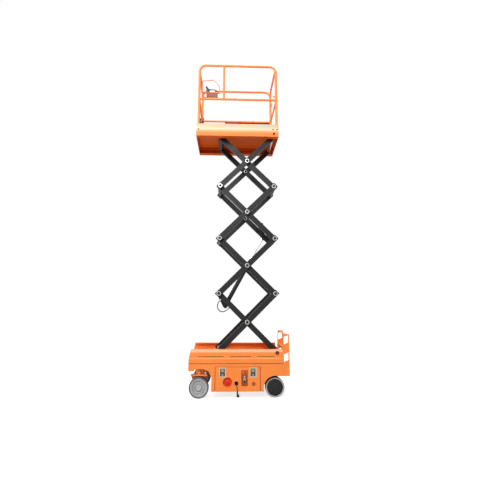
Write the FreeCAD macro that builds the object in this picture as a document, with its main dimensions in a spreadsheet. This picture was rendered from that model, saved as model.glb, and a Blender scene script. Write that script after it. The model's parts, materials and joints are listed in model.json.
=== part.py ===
import FreeCAD, Part
import math
import os

# A small self-propelled scissor lift with its platform raised.
# Millimetres. +X points from the steered end to the ladder, +Y across to the far side, +Z up.
# The origin is on the ground, under the middle of the machine.
# "left" is the -Y side, which carries the ground controls, and "right" is the +Y side.

DOC = FreeCAD.newDocument("scissor_lift")
SHEET = DOC.addObject("Spreadsheet::Sheet", "sizes")

# Driving sizes: alias and value, in millimetres or degrees. A share has no unit.
SIZES = (
    # chassis
    ("half_width", 380), ("chassis_front", 626), ("chassis_rear", 542), ("plate", 6),
    ("deck_height", 397), ("wall_rise", 169), ("wall_slope", 25), ("ledge_rise", 63),
    ("groove_rise", 6), ("groove_gap", 4), ("front_drop", 84), ("front_flat", 66),
    ("rear_edge", 255), ("skirt_bottom", 79), ("arch_bend", 95), ("arch_clear", 24),
    ("lip_depth", 70), ("lip_plate", 4), ("slot_height", 8), ("slot_drop", 12),
    ("track_plate", 8), ("track_gap", 11), ("track_front", 30), ("track_beyond", 177),
    ("backing_plate", 4), ("backing_edge", 8),
    ("nose_gap", 20), ("nose_rise", 53), ("rear_panel_drop", 42), ("bay_gap", 11),
    ("tie_hole", 11), ("tie_inset", 50), ("tie_height", 345), ("bracket_plate", 12),
    ("bracket_radius", 27), ("bracket_inset", 35), ("mass_inset", 60), ("mass_gap", 66),
    # doors
    ("side_strip", 41), ("rear_strip", 38), ("door_drop", 31), ("door_gap", 4), ("door_side_gap", 8),
    ("door_plate", 8), ("door_usual", 287), ("hinge_rise", 5), ("hinge_pin", 2.5), ("hinge_reach", 18),
    ("latch_width", 88), ("latch_height", 116), ("latch_plate", 3), ("latch_drop", 8),
    ("latch_front", 95), ("latch_rear", 93), ("cup_inset", 157), ("cup_rise", 107),
    ("cup_radius", 57), ("cup_depth", 30), ("cup_wall", 4), ("button_radius", 30),
    ("outlet_x", 35), ("outlet_rise", 94), ("outlet_radius", 25), ("outlet_collar", 30),
    ("controls_x", 66), ("controls_width", 78), ("controls_rise", 60), ("controls_height", 186),
    ("controls_depth", 24), ("lock_inset", 85), ("lock_rise", 89), ("lock_radius", 17),
    ("cable_radius", 4), ("gland_depth", 36), ("gland_wall", 4), ("relief_length", 20),
    # running gear
    ("front_radius", 121), ("rear_radius", 118), ("tyre_width", 78), ("front_tyre", 28),
    ("rear_tyre", 19), ("shoulder", 9), ("front_inset", 2), ("rear_inset", 35),
    ("nose_clear", 11), ("arch_gap", 32), ("tail_reach", 19),
    ("kingpin_inset", 68), ("stub_radius", 15), ("kingpin_radius", 26), ("kingpin_shaft", 18),
    ("knuckle_plate", 12), ("knuckle_front", 105), ("knuckle_rear", 100), ("knuckle_out", 40),
    ("wheel_clear", 13), ("seat_gap", 8), ("seat_depth", 14), ("cheek_plate", 12),
    ("stub_gap", 12), ("steer_arm", 80), ("ball_radius", 6), ("tie_rod_radius", 8),
    ("tie_eye", 15), ("tie_eye_half", 11), ("tie_rise", 13), ("axle_share", 0.42),
    ("axle_half", 50), ("beam_half", 30), ("hub_seat", 45), ("running_gap", 0.3),
    # scissor stack
    ("pivot_inset", 67), ("pivot_rise", 127), ("arm_length", 1040), ("arm_angle", 44.5),
    ("arm_depth", 70), ("arm_width", 38), ("arm_overhang", 38), ("stack_inset", 103),
    ("layer_gap", 6), ("pin_radius", 18), ("sleeve_radius", 34), ("cap_radius", 29),
    ("cap_plate", 7), ("bolt_radius", 11), ("bolt_head", 5), ("roller_radius", 24),
    ("roller_width", 34),
    # lift cylinder
    ("barrel_foot", 177), ("barrel_drop", 57), ("rod_foot", 135), ("rod_drop", 50),
    ("barrel_radius", 29), ("bore_radius", 23), ("rod_radius", 18), ("barrel_length", 640),
    ("eye_radius", 28), ("eye_pin", 14), ("ear_gap", 36), ("ear_plate", 12),
    ("ear_radius", 32), ("tie_radius", 22), ("barrel_tie", 62), ("rod_tie", 262),
    ("rod_tie_rise", 30), ("rod_start", 425), ("piston_length", 30), ("gland_length", 25),
    ("hose_radius", 6), ("hose_inset", 23), ("fitting_radius", 9), ("fitting_height", 45),
    ("gland_radius", 31), ("port_radius", 9), ("port_reach", 14),
    # platform
    ("platform_front", 609), ("platform_rear", 538), ("side_height", 177), ("pivot_drop", 43),
    ("rail_height", 1108), ("mid_rail", 566), ("tube_radius", 16.5), ("rail_bend", 95),
    ("rail_inset", 28), ("rail_front_gap", 27), ("rail_rear_gap", 23), ("flange_depth", 84),
    ("lug_radius", 45), ("tread_plate", 3), ("tread_gap", 6), ("stub_post_x", 233),
    ("deck_rise", 40), ("gate_gap", 8), ("gate_tube", 14), ("gate_bend", 60),
    ("gate_rise", 20), ("collar_height", 36), ("collar_low", 180), ("collar_high", 260),
    ("control_drop", 267), ("control_half", 80),
    ("control_length", 170), ("control_back", 62), ("control_front", 40), ("guard_radius", 5),
    ("strap_width", 34),
    # ladder
    ("ladder_inset", 3), ("ladder_span", 531), ("ladder_plate", 8), ("ladder_depth", 84),
    ("ladder_top", 752), ("tread_height", 24), ("window_edge", 14), ("window_rise", 24),
)
for row, (alias, number) in enumerate(SIZES, start=1):
    SHEET.set("A%d" % row, alias)
    SHEET.set("B%d" % row, str(number))
    SHEET.setAlias("B%d" % row, alias)
DOC.recompute()


class Size:
    """A length or an angle in degrees that knows its number and its formula in the sheet."""

    def __init__(self, text, number):
        self.text = text
        self.number = float(number)

    def __add__(self, other):
        other = sized(other)
        return Size("(%s + %s)" % (self.text, other.text), self.number + other.number)

    def __sub__(self, other):
        other = sized(other)
        return Size("(%s - %s)" % (self.text, other.text), self.number - other.number)

    def __mul__(self, other):
        other = sized(other)
        return Size("(%s * %s)" % (self.text, other.text), self.number * other.number)

    def __truediv__(self, other):
        other = sized(other)
        return Size("(%s / %s)" % (self.text, other.text), self.number / other.number)

    def __neg__(self):
        return Size("(0 - %s)" % self.text, -self.number)

    def __radd__(self, other):
        return sized(other) + self

    def __rsub__(self, other):
        return sized(other) - self

    def __rmul__(self, other):
        return sized(other) * self


def sized(thing):
    """Gives a plain number the form of a Size."""
    return thing if isinstance(thing, Size) else Size(repr(float(thing)), thing)


def cosine(angle):
    return Size("cos(%s)" % angle.text, math.cos(math.radians(angle.number)))


def sine(angle):
    return Size("sin(%s)" % angle.text, math.sin(math.radians(angle.number)))


def distance(run, rise):
    return Size("hypot(%s; %s)" % (run.text, rise.text), math.hypot(run.number, rise.number))


def slope(rise, run):
    """The angle, in degrees, of a line that rises and runs by these lengths."""
    angle = math.degrees(math.atan2(rise.number, run.number))
    return Size("(atan2(%s; %s) / 1 deg)" % (rise.text, run.text), angle)


class Sizes:
    """Every driving size by its alias, such as S.plate."""

    def __init__(self):
        for alias, number in SIZES:
            setattr(self, alias, Size("sizes." + alias, number))


S = Sizes()
SIDES = (("left", -1), ("right", 1))
NODES = []

# Planes and places that several pieces share, worked out from the driving sizes.
OUTER_FACE = S.half_width - S.stack_inset
INNER_FACE = OUTER_FACE - 2 * S.arm_width - S.layer_gap
MIDDLE_FACE = OUTER_FACE - S.arm_width
WALL_INNER = S.half_width - 2 * S.plate
WALL_MIDDLE = S.half_width - S.plate
DECK_UNDER = S.deck_height - S.plate
WALL_TOP = S.deck_height + S.wall_rise
LEDGE = S.deck_height + S.ledge_rise
GROOVE = S.deck_height + S.groove_rise
FRONT_AXLE = S.chassis_front - S.front_radius - S.nose_clear
REAR_AXLE = S.chassis_rear + S.tail_reach - S.rear_radius
SKIRT_FRONT = FRONT_AXLE - S.front_radius - S.arch_gap
SKIRT_REAR = REAR_AXLE - S.rear_radius - S.arch_clear
BAY_REAR = SKIRT_REAR - S.bay_gap
BAY_FLOOR = S.skirt_bottom + S.plate
KINGPIN_Y = S.half_width - S.kingpin_inset
PLATE_LOW = 2 * S.front_radius + S.wheel_clear
PLATE_HIGH = PLATE_LOW + S.knuckle_plate
ARCH_TOP = DECK_UNDER - S.axle_share * (DECK_UNDER - PLATE_HIGH)
PIN_BORE = S.pin_radius + S.running_gap
PIVOT_X = S.chassis_rear - S.pivot_inset
PIVOT_Z = S.deck_height + S.pivot_rise
LEFT_X = PIVOT_X - S.arm_length * cosine(S.arm_angle)
STAGE_RISE = S.arm_length * sine(S.arm_angle)
TRACK_TOP = PIVOT_Z - S.roller_radius - S.running_gap
PLATFORM_Z = PIVOT_Z + 4 * STAGE_RISE
PLATFORM_LOW = PLATFORM_Z - S.pivot_drop
PLATFORM_FLOOR = PLATFORM_Z + S.deck_rise
RAIL_BOTTOM = PLATFORM_FLOOR + S.plate
RAIL_TOP = PLATFORM_LOW + S.rail_height - S.tube_radius
RAIL_MIDDLE = PLATFORM_LOW + S.mid_rail
RAIL_Y = S.half_width - S.rail_inset
RAIL_FRONT = S.platform_front - S.rail_front_gap
RAIL_REAR = S.platform_rear - S.rail_rear_gap
GATE_REACH = RAIL_Y - S.tube_radius - S.gate_gap - S.gate_tube
DOOR_FRONT = SKIRT_FRONT - S.side_strip
DOOR_REAR = SKIRT_REAR - S.rear_strip
DOOR_TOP = S.deck_height - S.door_drop
DOOR_SCALE = (DOOR_TOP - S.skirt_bottom) / S.door_usual
DOOR_BACK = S.half_width - S.door_plate
HINGE_Y = S.half_width - S.door_plate / 2
HINGE_Z = S.skirt_bottom + S.hinge_rise
LATCH_X = (S.latch_front - DOOR_FRONT, DOOR_REAR - S.latch_rear)
LATCH_FACE = S.half_width - S.latch_plate
LATCH_TOP = DOOR_TOP - S.latch_drop
LATCH_LOW = LATCH_TOP - S.latch_height * DOOR_SCALE
CUP_X = S.cup_inset - DOOR_FRONT
CUP_Z = S.skirt_bottom + S.cup_rise * DOOR_SCALE
CUP_RADIUS = S.cup_radius * DOOR_SCALE
CUP_FLOOR = S.half_width - S.cup_depth + S.cup_wall
TRAY_LOW = S.skirt_bottom + S.controls_rise * DOOR_SCALE
TRAY_HEIGHT = S.controls_height * DOOR_SCALE
TRAY_FLOOR = S.half_width - S.controls_depth + S.cup_wall
LOCK = (DOOR_REAR - S.lock_inset, S.skirt_bottom + S.lock_rise)
OUTLET = (-S.outlet_x, S.skirt_bottom + S.outlet_rise)
LADDER_END = S.chassis_rear + S.ladder_depth
LADDER_LEFT = S.ladder_inset - S.half_width
LADDER_RIGHT = LADDER_LEFT + S.ladder_span


class Wheel:
    """The axle, the radii and the planes that the pieces of one end's wheels share."""

    def __init__(self, axle, radius, tyre_depth, inset):
        self.axle = axle
        self.radius = radius
        self.rim = radius - tyre_depth
        self.face = S.half_width - inset
        self.back = self.face - S.tyre_width
        self.seat = self.back - S.seat_gap - S.seat_depth
        self.cheek = (self.seat - S.cheek_plate, self.seat)


FRONT = Wheel(-FRONT_AXLE, S.front_radius, S.front_tyre, S.front_inset)
REAR = Wheel(REAR_AXLE, S.rear_radius, S.rear_tyre, S.rear_inset)


def bind(thing, path, size):
    """Drives one property of an object from the sheet."""
    thing.setExpression(path, sized(size).text)


def place(thing, at, axis=(0, 0, 1), angle=0):
    """Puts an object at a point, turned about an axis through it."""
    thing.Placement = FreeCAD.Placement(FreeCAD.Vector(0, 0, 0),
                                        FreeCAD.Rotation(FreeCAD.Vector(*axis), sized(angle).number))
    if isinstance(angle, Size):
        for part, number in zip("xyz", axis):
            bind(thing, "Placement.Rotation.Axis." + part, number)
        bind(thing, "Placement.Rotation.Angle", angle)
    for part, size in zip("xyz", at):
        bind(thing, "Placement.Base." + part, size)
    return thing


def slab(x, y, z):
    """A box between two planes each way: x, y and z are (low, high) pairs."""
    box = DOC.addObject("Part::Box", "slab")
    for name, (low, high) in zip(("Length", "Width", "Height"), (x, y, z)):
        bind(box, name, sized(high) - low)
    return place(box, (x[0], y[0], z[0]))


TURN_TO = {"x": ((0, 1, 0), 90), "y": ((1, 0, 0), -90), "z": ((0, 0, 1), 0)}


def round_bar(axis, radius, span, centre):
    """A cylinder along x, y or z over a (low, high) span, about a centre on the other two axes."""
    bar = DOC.addObject("Part::Cylinder", "round_bar")
    bind(bar, "Radius", radius)
    bind(bar, "Height", sized(span[1]) - span[0])
    at = list(centre)
    at.insert("xyz".index(axis), span[0])
    return place(bar, at, *TURN_TO[axis])


def ball(radius, at):
    sphere = DOC.addObject("Part::Sphere", "ball")
    bind(sphere, "Radius", radius)
    return place(sphere, at)


def join(parts):
    if len(parts) == 1:
        return parts[0]
    whole = DOC.addObject("Part::MultiFuse", "join")
    whole.Shapes = list(parts)
    return whole


def group(parts):
    """Separate solids that share a node."""
    whole = DOC.addObject("Part::Compound", "group")
    whole.Links = list(parts)
    return whole


def cut(base, tools):
    result = DOC.addObject("Part::Cut", "cut")
    result.Base = base
    result.Tool = join(tools)
    return result


def node(label, thing):
    thing.Label = label
    NODES.append(thing)
    return thing


def across(sign, inner, outer):
    """The (low, high) span in y between two distances from the middle, on one side."""
    inner = sized(inner)
    outer = sized(outer)
    return (-outer, -inner) if sign < 0 else (inner, outer)


def sketched(name, plane, outline):
    """A body with a closed sketch of straight edges through the outline's points."""
    import Sketcher
    body = DOC.addObject("PartDesign::Body", name)
    sketch = body.newObject("Sketcher::SketchObject", name + "_outline")
    support = next(feature for feature in body.Origin.OriginFeatures if feature.Role == plane)
    sketch.AttachmentSupport = [(support, "")]
    sketch.MapMode = "FlatFace"
    points = [(sized(first), sized(second)) for first, second in outline]
    count = len(points)
    for index, point in enumerate(points):
        start = FreeCAD.Vector(*[size.number for size in point], 0)
        end = FreeCAD.Vector(*[size.number for size in points[(index + 1) % count]], 0)
        sketch.addGeometry(Part.LineSegment(start, end), False)
    for index in range(count):
        sketch.addConstraint(Sketcher.Constraint("Coincident", index, 2, (index + 1) % count, 1))
    for index, point in enumerate(points):
        for kind, size in zip(("DistanceX", "DistanceY"), point):
            number = sketch.addConstraint(Sketcher.Constraint(kind, -1, 1, index, 1, size.number))
            bind(sketch, "Constraints[%d]" % number, size)
    sketch.Visibility = False
    return body, sketch


def panel(outline, y, name="panel"):
    """A flat plate over a y span, with straight edges through (x, z) points."""
    body, sketch = sketched(name, "XZ_Plane", outline)
    pad = body.newObject("PartDesign::Pad", name + "_pad")
    pad.Profile = sketch
    bind(pad, "Length", sized(y[1]) - y[0])
    bind(body, "Placement.Base.y", y[1])
    return body


def turned(outline, x, z, name="turned"):
    """A round piece about a line along y, from (radius, y) points."""
    body, sketch = sketched(name, "XY_Plane", outline)
    turn = body.newObject("PartDesign::Revolution", name + "_turn")
    turn.Profile = sketch
    turn.ReferenceAxis = (sketch, ["V_Axis"])
    turn.Angle = 360
    bind(body, "Placement.Base.x", x)
    bind(body, "Placement.Base.z", z)
    return body


def strap(start, end, radius, y):
    """A flat bar with round ends between two (x, z) points, over a y span."""
    run = sized(end[0]) - start[0]
    rise = sized(end[1]) - start[1]
    angle = slope(rise, run)
    bar = DOC.addObject("Part::Box", "strap")
    bind(bar, "Length", distance(run, rise))
    bind(bar, "Width", sized(y[1]) - y[0])
    bind(bar, "Height", 2 * sized(radius))
    at = (start[0] + radius * sine(angle), y[0], start[1] - radius * cosine(angle))
    place(bar, at, (0, 1, 0), -angle)
    ends = [round_bar("y", radius, y, point) for point in (start, end)]
    return join([bar] + ends)


def bent_rod(points, y, radius):
    """Round rod through (x, z) points, with a ball at each corner."""
    parts = [ball(radius, (x, y, z)) for x, z in points[1:-1]]
    for start, end in zip(points, points[1:]):
        run = sized(end[0]) - start[0]
        rise = sized(end[1]) - start[1]
        rod = DOC.addObject("Part::Cylinder", "rod")
        bind(rod, "Radius", radius)
        bind(rod, "Height", distance(run, rise))
        parts.append(place(rod, (start[0], y, start[1]), (0, 1, 0), slope(run, rise)))
    return parts


# How a quarter ring lies in the plane across y or x before it is spun about that axis.
QUARTER_LAY = {"y": ((1, 0, 0), 90), "x": ((1, 1, 1), 120)}
SPIN_AXIS = {"y": (0, 1, 0), "x": (1, 0, 0)}


def quarter(axis, bend, tube, centre, spin):
    """A quarter ring of tube in the plane across x or y."""
    ring = DOC.addObject("Part::Torus", "quarter")
    bind(ring, "Radius1", bend)
    bind(ring, "Radius2", tube)
    ring.Angle3 = 90
    place(ring, centre)
    lay_axis, lay_angle = QUARTER_LAY[axis]
    lay = FreeCAD.Rotation(FreeCAD.Vector(*lay_axis), lay_angle)
    turn = FreeCAD.Rotation(FreeCAD.Vector(*SPIN_AXIS[axis]), spin)
    ring.Placement.Rotation = turn.multiply(lay)
    return ring


# Long slots in the rail plate: start and end, from the front of the chassis.
RAIL_SLOTS = ((114, 431), (516, 772), (854, 1066))
# The bend of the front arch: how far before its rear edge and how far under its top.
ARCH_BEND = (40, 22)


def chassis_side(sign):
    """A side wall: rail plate with backed slots, lip, roller track, outer band and arched skirt."""
    rail_y = across(sign, WALL_INNER, WALL_MIDDLE)
    skirt_y = across(sign, WALL_MIDDLE, S.half_width)
    rail = panel(((-S.chassis_front, DECK_UNDER), (S.chassis_rear, DECK_UNDER),
                  (S.chassis_rear, WALL_TOP), (S.wall_slope - S.chassis_front, WALL_TOP),
                  (-S.chassis_front, LEDGE)), rail_y, "rail")
    slot_z = (TRACK_TOP - S.slot_drop - S.slot_height, TRACK_TOP - S.slot_drop)
    slots = [(start - S.chassis_front, end - S.chassis_front) for start, end in RAIL_SLOTS]
    holes = [slab(x, rail_y, slot_z) for x in slots]
    backing = [slab((start - S.backing_edge, end + S.backing_edge),
                    across(sign, WALL_INNER - S.backing_plate, WALL_INNER),
                    (slot_z[0] - S.backing_edge, TRACK_TOP - S.track_plate)) for start, end in slots]
    holes.append(round_bar("y", S.pin_radius + 5, rail_y, (PIVOT_X, PIVOT_Z)))
    lip = slab((S.wall_slope - S.chassis_front, S.chassis_rear),
               across(sign, WALL_MIDDLE - S.lip_depth, WALL_INNER), (WALL_TOP - S.lip_plate, WALL_TOP))
    track = slab((S.track_front - S.chassis_front, LEFT_X + S.track_beyond),
                 across(sign, OUTER_FACE + S.track_gap, WALL_INNER), (TRACK_TOP - S.track_plate, TRACK_TOP))
    band = slab((-S.chassis_front, S.chassis_rear), skirt_y, (GROOVE, LEDGE))
    skirt_top = GROOVE - S.groove_gap
    front_edge = S.deck_height - S.front_drop
    front_flat = S.front_flat - S.chassis_front
    bend_back, bend_drop = ARCH_BEND
    skirt = panel(((-S.chassis_front, front_edge), (front_flat, front_edge),
                   (front_flat + 18, ARCH_TOP), (-SKIRT_FRONT - S.arch_bend, ARCH_TOP),
                   (-SKIRT_FRONT - bend_back, ARCH_TOP - bend_drop), (-SKIRT_FRONT, ARCH_TOP - S.arch_bend),
                   (-SKIRT_FRONT, S.skirt_bottom), (-DOOR_FRONT, S.skirt_bottom),
                   (-DOOR_FRONT, DOOR_TOP), (DOOR_REAR, DOOR_TOP),
                   (DOOR_REAR, S.skirt_bottom), (REAR_AXLE, S.skirt_bottom),
                   (REAR_AXLE, S.rear_edge), (S.chassis_rear, S.rear_edge),
                   (S.chassis_rear, skirt_top), (-S.chassis_front, skirt_top)), skirt_y, "skirt")
    arch = round_bar("y", S.rear_radius + S.arch_clear, skirt_y, (REAR_AXLE, S.rear_radius))
    pins = [round_bar("x", S.hinge_pin, span, (sign * HINGE_Y, HINGE_Z))
            for span in ((-DOOR_FRONT - S.plate, S.hinge_reach - DOOR_FRONT),
                         (DOOR_REAR - S.hinge_reach, DOOR_REAR + S.plate))]
    return join([cut(rail, holes), lip, track, band, cut(skirt, [arch])] + backing + pins)


def chassis_deck():
    """The deck of the trough with its front panel and the brackets of the fixed lower pivots."""
    nose = S.nose_gap - S.chassis_front
    deck = slab((nose + S.plate, S.chassis_rear - S.plate), (-WALL_INNER, WALL_INNER),
                (DECK_UNDER, S.deck_height))
    front = slab((nose, nose + S.plate), (-WALL_INNER, WALL_INNER),
                 (S.deck_height - S.front_drop, S.deck_height + S.nose_rise))
    parts = [deck, front]
    for side, sign in SIDES:
        for low in (WALL_INNER - S.bracket_inset, MIDDLE_FACE + 2):
            y = across(sign, low, low + S.bracket_plate)
            parts.append(slab((PIVOT_X - S.bracket_radius, PIVOT_X + S.bracket_radius), y,
                              (S.deck_height, PIVOT_Z)))
            parts.append(round_bar("y", S.bracket_radius, y, (PIVOT_X, PIVOT_Z)))
        pin_end = WALL_INNER - S.bracket_inset + S.bracket_plate + 4
        parts.append(round_bar("y", S.pin_radius, across(sign, INNER_FACE - 4, pin_end), (PIVOT_X, PIVOT_Z)))
    return join(parts)


def bay_frame():
    """The bulkheads, floor and middle web of the two bays between the wheels."""
    height = (S.skirt_bottom, DECK_UNDER)
    bay_y = (-WALL_MIDDLE, WALL_MIDDLE)
    floor_y = DOOR_BACK - S.plate
    return join([slab((-SKIRT_FRONT, S.plate - SKIRT_FRONT), bay_y, height),
                 slab((BAY_REAR - S.plate, BAY_REAR), bay_y, height),
                 slab((-SKIRT_FRONT, BAY_REAR), (-floor_y, floor_y), (S.skirt_bottom, BAY_FLOOR)),
                 slab((-SKIRT_FRONT, BAY_REAR), (-S.plate / 2, S.plate / 2), height)])


def rear_panel():
    """The plate across the rear end, with its two tie-down holes."""
    x = (S.chassis_rear - S.plate, S.chassis_rear)
    holes = [round_bar("x", S.tie_hole, x, (sign * (S.half_width - S.tie_inset), S.tie_height))
             for side, sign in SIDES]
    return cut(slab(x, (-WALL_INNER, WALL_INNER), (S.rear_edge, WALL_TOP - S.rear_panel_drop)), holes)


def front_axle():
    """The box beam that carries the kingpins."""
    reach = KINGPIN_Y + S.hub_seat
    height = (ARCH_TOP, DECK_UNDER)
    beam = slab((-FRONT_AXLE - S.axle_half, S.axle_half - FRONT_AXLE), (-reach, reach), height)
    bores = [round_bar("z", S.kingpin_shaft + S.running_gap, height, (-FRONT_AXLE, sign * KINGPIN_Y))
             for side, sign in SIDES]
    return cut(beam, bores)


def stub_axle(sign, wheel):
    """The seat and the stub that a wheel turns on."""
    seat_out = wheel.seat + S.seat_depth
    centre = (wheel.axle, wheel.radius)
    return [round_bar("y", S.hub_seat, across(sign, wheel.seat, seat_out), centre),
            round_bar("y", S.stub_radius, across(sign, seat_out, wheel.face - S.stub_gap), centre)]


def knuckle(sign):
    """The bracket over a front wheel: kingpin, top plate with a ball pin, and a tapered cheek."""
    x = FRONT.axle
    pin = (x, sign * KINGPIN_Y)
    cheek_low = FRONT.radius - S.hub_seat
    parts = [round_bar("z", S.kingpin_shaft, (PLATE_HIGH, DECK_UNDER - 3), pin),
             round_bar("z", S.kingpin_radius, (PLATE_HIGH, ARCH_TOP - 2), pin),
             slab((x - S.knuckle_front, x + S.knuckle_rear),
                  across(sign, FRONT.cheek[0], KINGPIN_Y + S.knuckle_out), (PLATE_LOW, PLATE_HIGH)),
             panel(((x - S.knuckle_front, PLATE_LOW), (x - S.hub_seat, cheek_low),
                    (x + S.hub_seat, cheek_low), (x + S.knuckle_rear, PLATE_LOW)),
                   across(sign, *FRONT.cheek), "cheek"),
             round_bar("z", S.ball_radius, (PLATE_HIGH, PLATE_HIGH + 2 * S.tie_rise - 2),
                       (x + S.steer_arm, sign * KINGPIN_Y))]
    return join(parts + stub_axle(sign, FRONT))


def tie_rod():
    """The rod that couples the two knuckles, with an eye at each end."""
    z = PLATE_HIGH + S.tie_rise
    x = S.steer_arm - FRONT_AXLE
    height = (z - S.tie_eye_half, z + S.tie_eye_half)
    rod = round_bar("y", S.tie_rod_radius, (-KINGPIN_Y, KINGPIN_Y), (x, z))
    eyes = [round_bar("z", S.tie_eye, height, (x, sign * KINGPIN_Y)) for side, sign in SIDES]
    bores = [round_bar("z", S.ball_radius + S.running_gap, height, (x, sign * KINGPIN_Y))
             for side, sign in SIDES]
    return cut(join([rod] + eyes), bores)


def rear_axle():
    """The fixed rear beam, its hangers and its stub axles."""
    x = REAR.axle
    reach = REAR.cheek[0]
    low = REAR.radius - S.hub_seat
    parts = [slab((x - S.beam_half, x + S.beam_half), (-reach, reach),
                  (REAR.radius - S.beam_half, REAR.radius + S.beam_half))]
    for side, sign in SIDES:
        parts.append(panel(((x - S.hub_seat, low), (x + S.hub_seat, low),
                            (x + S.hub_seat + 10, DECK_UNDER), (x - S.hub_seat - 10, DECK_UNDER)),
                           across(sign, *REAR.cheek), "hanger"))
        parts += stub_axle(sign, REAR)
    return join(parts)


def tyre(sign, wheel):
    """A solid tyre with sloped shoulders, turned from its section."""
    tread = wheel.radius - S.shoulder / 3
    edge = wheel.radius - S.shoulder
    outline = ((wheel.rim, wheel.back), (edge, wheel.back), (tread, wheel.back + S.shoulder / 3),
               (wheel.radius, wheel.back + S.shoulder), (wheel.radius, wheel.face - S.shoulder),
               (tread, wheel.face - S.shoulder / 3), (edge, wheel.face), (wheel.rim, wheel.face))
    return turned([(radius, sign * y) for radius, y in outline], wheel.axle, wheel.radius, "tyre")


# The outer face of a hub: share of the rim's radius, and depth under the wheel's outer face.
FRONT_FACE = ((0, 4), (0.35, 4), (0.35, 16), (0.57, 16), (0.59, 12), (0.67, 12), (0.69, 16),
              (0.86, 16), (0.89, 6), (1, 6))
REAR_FACE = ((0, 4), (0.31, 4), (0.37, 9), (0.91, 9), (1, 14))


def hub(sign, wheel, face):
    """The rim and hub that fill a tyre, turned from the section, with a blind bore for the stub."""
    bore = S.stub_radius + S.running_gap
    bore_end = wheel.face - S.stub_gap + 1
    back = wheel.back + 3
    outline = [(share * wheel.rim, wheel.face - depth) for share, depth in face]
    outline += [(wheel.rim, back), (bore, back), (bore, bore_end), (0, bore_end)]
    return turned([(radius, sign * y) for radius, y in outline], wheel.axle, wheel.radius, "hub")


def door(sign):
    """A door that folds down on its lower edge."""
    plate_y = across(sign, DOOR_BACK, S.half_width)
    gap = S.running_gap
    parts = [slab((S.door_side_gap - DOOR_FRONT, DOOR_REAR - S.door_side_gap), plate_y,
                  (S.skirt_bottom, DOOR_TOP - S.door_gap))]
    reach = S.hinge_reach + S.door_gap
    tools = [round_bar("x", S.hinge_pin + gap, span, (sign * HINGE_Y, HINGE_Z))
             for span in ((-DOOR_FRONT, reach - DOOR_FRONT), (DOOR_REAR - reach, DOOR_REAR))]
    for x in LATCH_X:
        half = S.latch_width / 2 + gap
        tools.append(slab((x - half, x + half), across(sign, LATCH_FACE, S.half_width),
                          (LATCH_LOW - gap, LATCH_TOP + gap)))
    if sign < 0:
        half = S.controls_width / 2
        wall = S.cup_wall
        parts.append(round_bar("y", CUP_RADIUS + wall, across(sign, CUP_FLOOR - wall, DOOR_BACK),
                               (CUP_X, CUP_Z)))
        parts.append(slab((S.controls_x - half - wall, S.controls_x + half + wall),
                          across(sign, TRAY_FLOOR - wall, DOOR_BACK),
                          (TRAY_LOW - wall, TRAY_LOW + TRAY_HEIGHT + wall)))
        tools += [round_bar("y", CUP_RADIUS, across(sign, CUP_FLOOR, S.half_width), (CUP_X, CUP_Z)),
                  round_bar("y", S.outlet_radius, plate_y, OUTLET),
                  round_bar("y", S.lock_radius + gap, plate_y, LOCK),
                  slab((S.controls_x - half, S.controls_x + half), across(sign, TRAY_FLOOR, S.half_width),
                       (TRAY_LOW, TRAY_LOW + TRAY_HEIGHT))]
    return cut(join(parts), tools)


def latches(sign):
    """The two flush plates of the paddle latches."""
    return group([slab((x - S.latch_width / 2, x + S.latch_width / 2),
                       across(sign, LATCH_FACE, S.half_width), (LATCH_LOW, LATCH_TOP)) for x in LATCH_X])


# Round controls in the tray: height and radius as shares of the tray's height, and how far
# their fronts are under the door's face.
TRAY_KNOBS = ((0.84, 0.107, 4), (0.59, 0.08, 6))
# The rocker switch in the tray: its lower and upper edge as shares of the tray's height.
ROCKER = (0.215, 0.41)


def ground_controls():
    """The red button in its round cup, the tray's controls and the round lock."""
    stem = CUP_FLOOR + 12
    solids = [join([round_bar("y", S.button_radius / 2, across(-1, CUP_FLOOR, stem), (CUP_X, CUP_Z)),
                    round_bar("y", S.button_radius * DOOR_SCALE, across(-1, stem, S.half_width - 4),
                              (CUP_X, CUP_Z))])]
    for height, radius, depth in TRAY_KNOBS:
        solids.append(round_bar("y", radius * TRAY_HEIGHT, across(-1, TRAY_FLOOR, S.half_width - depth),
                                (S.controls_x, TRAY_LOW + height * TRAY_HEIGHT)))
    solids.append(slab((S.controls_x - 16, S.controls_x + 16), across(-1, TRAY_FLOOR, S.half_width - 8),
                       [TRAY_LOW + share * TRAY_HEIGHT for share in ROCKER]))
    solids.append(round_bar("y", S.lock_radius, across(-1, DOOR_BACK, S.half_width - 1), LOCK))
    return group(solids)


def cable_gland():
    """The open cup of the charging lead's outlet, its collar behind the door and its tapered relief."""
    mouth = S.half_width - 1
    floor = mouth - S.gland_depth
    cup = round_bar("y", S.outlet_radius, across(-1, floor - S.gland_wall, mouth), OUTLET)
    hollow = round_bar("y", S.outlet_radius - S.gland_wall, across(-1, floor, mouth), OUTLET)
    collar = round_bar("y", S.outlet_collar, across(-1, DOOR_BACK - S.plate, DOOR_BACK), OUTLET)
    relief = DOC.addObject("Part::Cone", "relief")
    bind(relief, "Radius1", 2 * S.cable_radius)
    bind(relief, "Radius2", S.cable_radius + 1)
    bind(relief, "Height", S.relief_length)
    place(relief, (OUTLET[0], -floor, OUTLET[1]), (1, 0, 0), 90)
    return join([cut(join([cup, collar]), [hollow]), relief])


# The charging lead, from the relief's tip to its plug: straight out, then down under its weight.
LEAD_POINTS = ((0, 0, 0), (0, -20, 0), (2, -38.5, -11), (6, -48, -32), (13, -49, -60), (13, -49, -82))


def from_relief(point):
    """A point of the lead, in the machine's own frame."""
    x, y, z = point
    tip = S.half_width - 1 - S.gland_depth + S.relief_length
    return OUTLET[0] + x, -tip + y, OUTLET[1] + z


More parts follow.
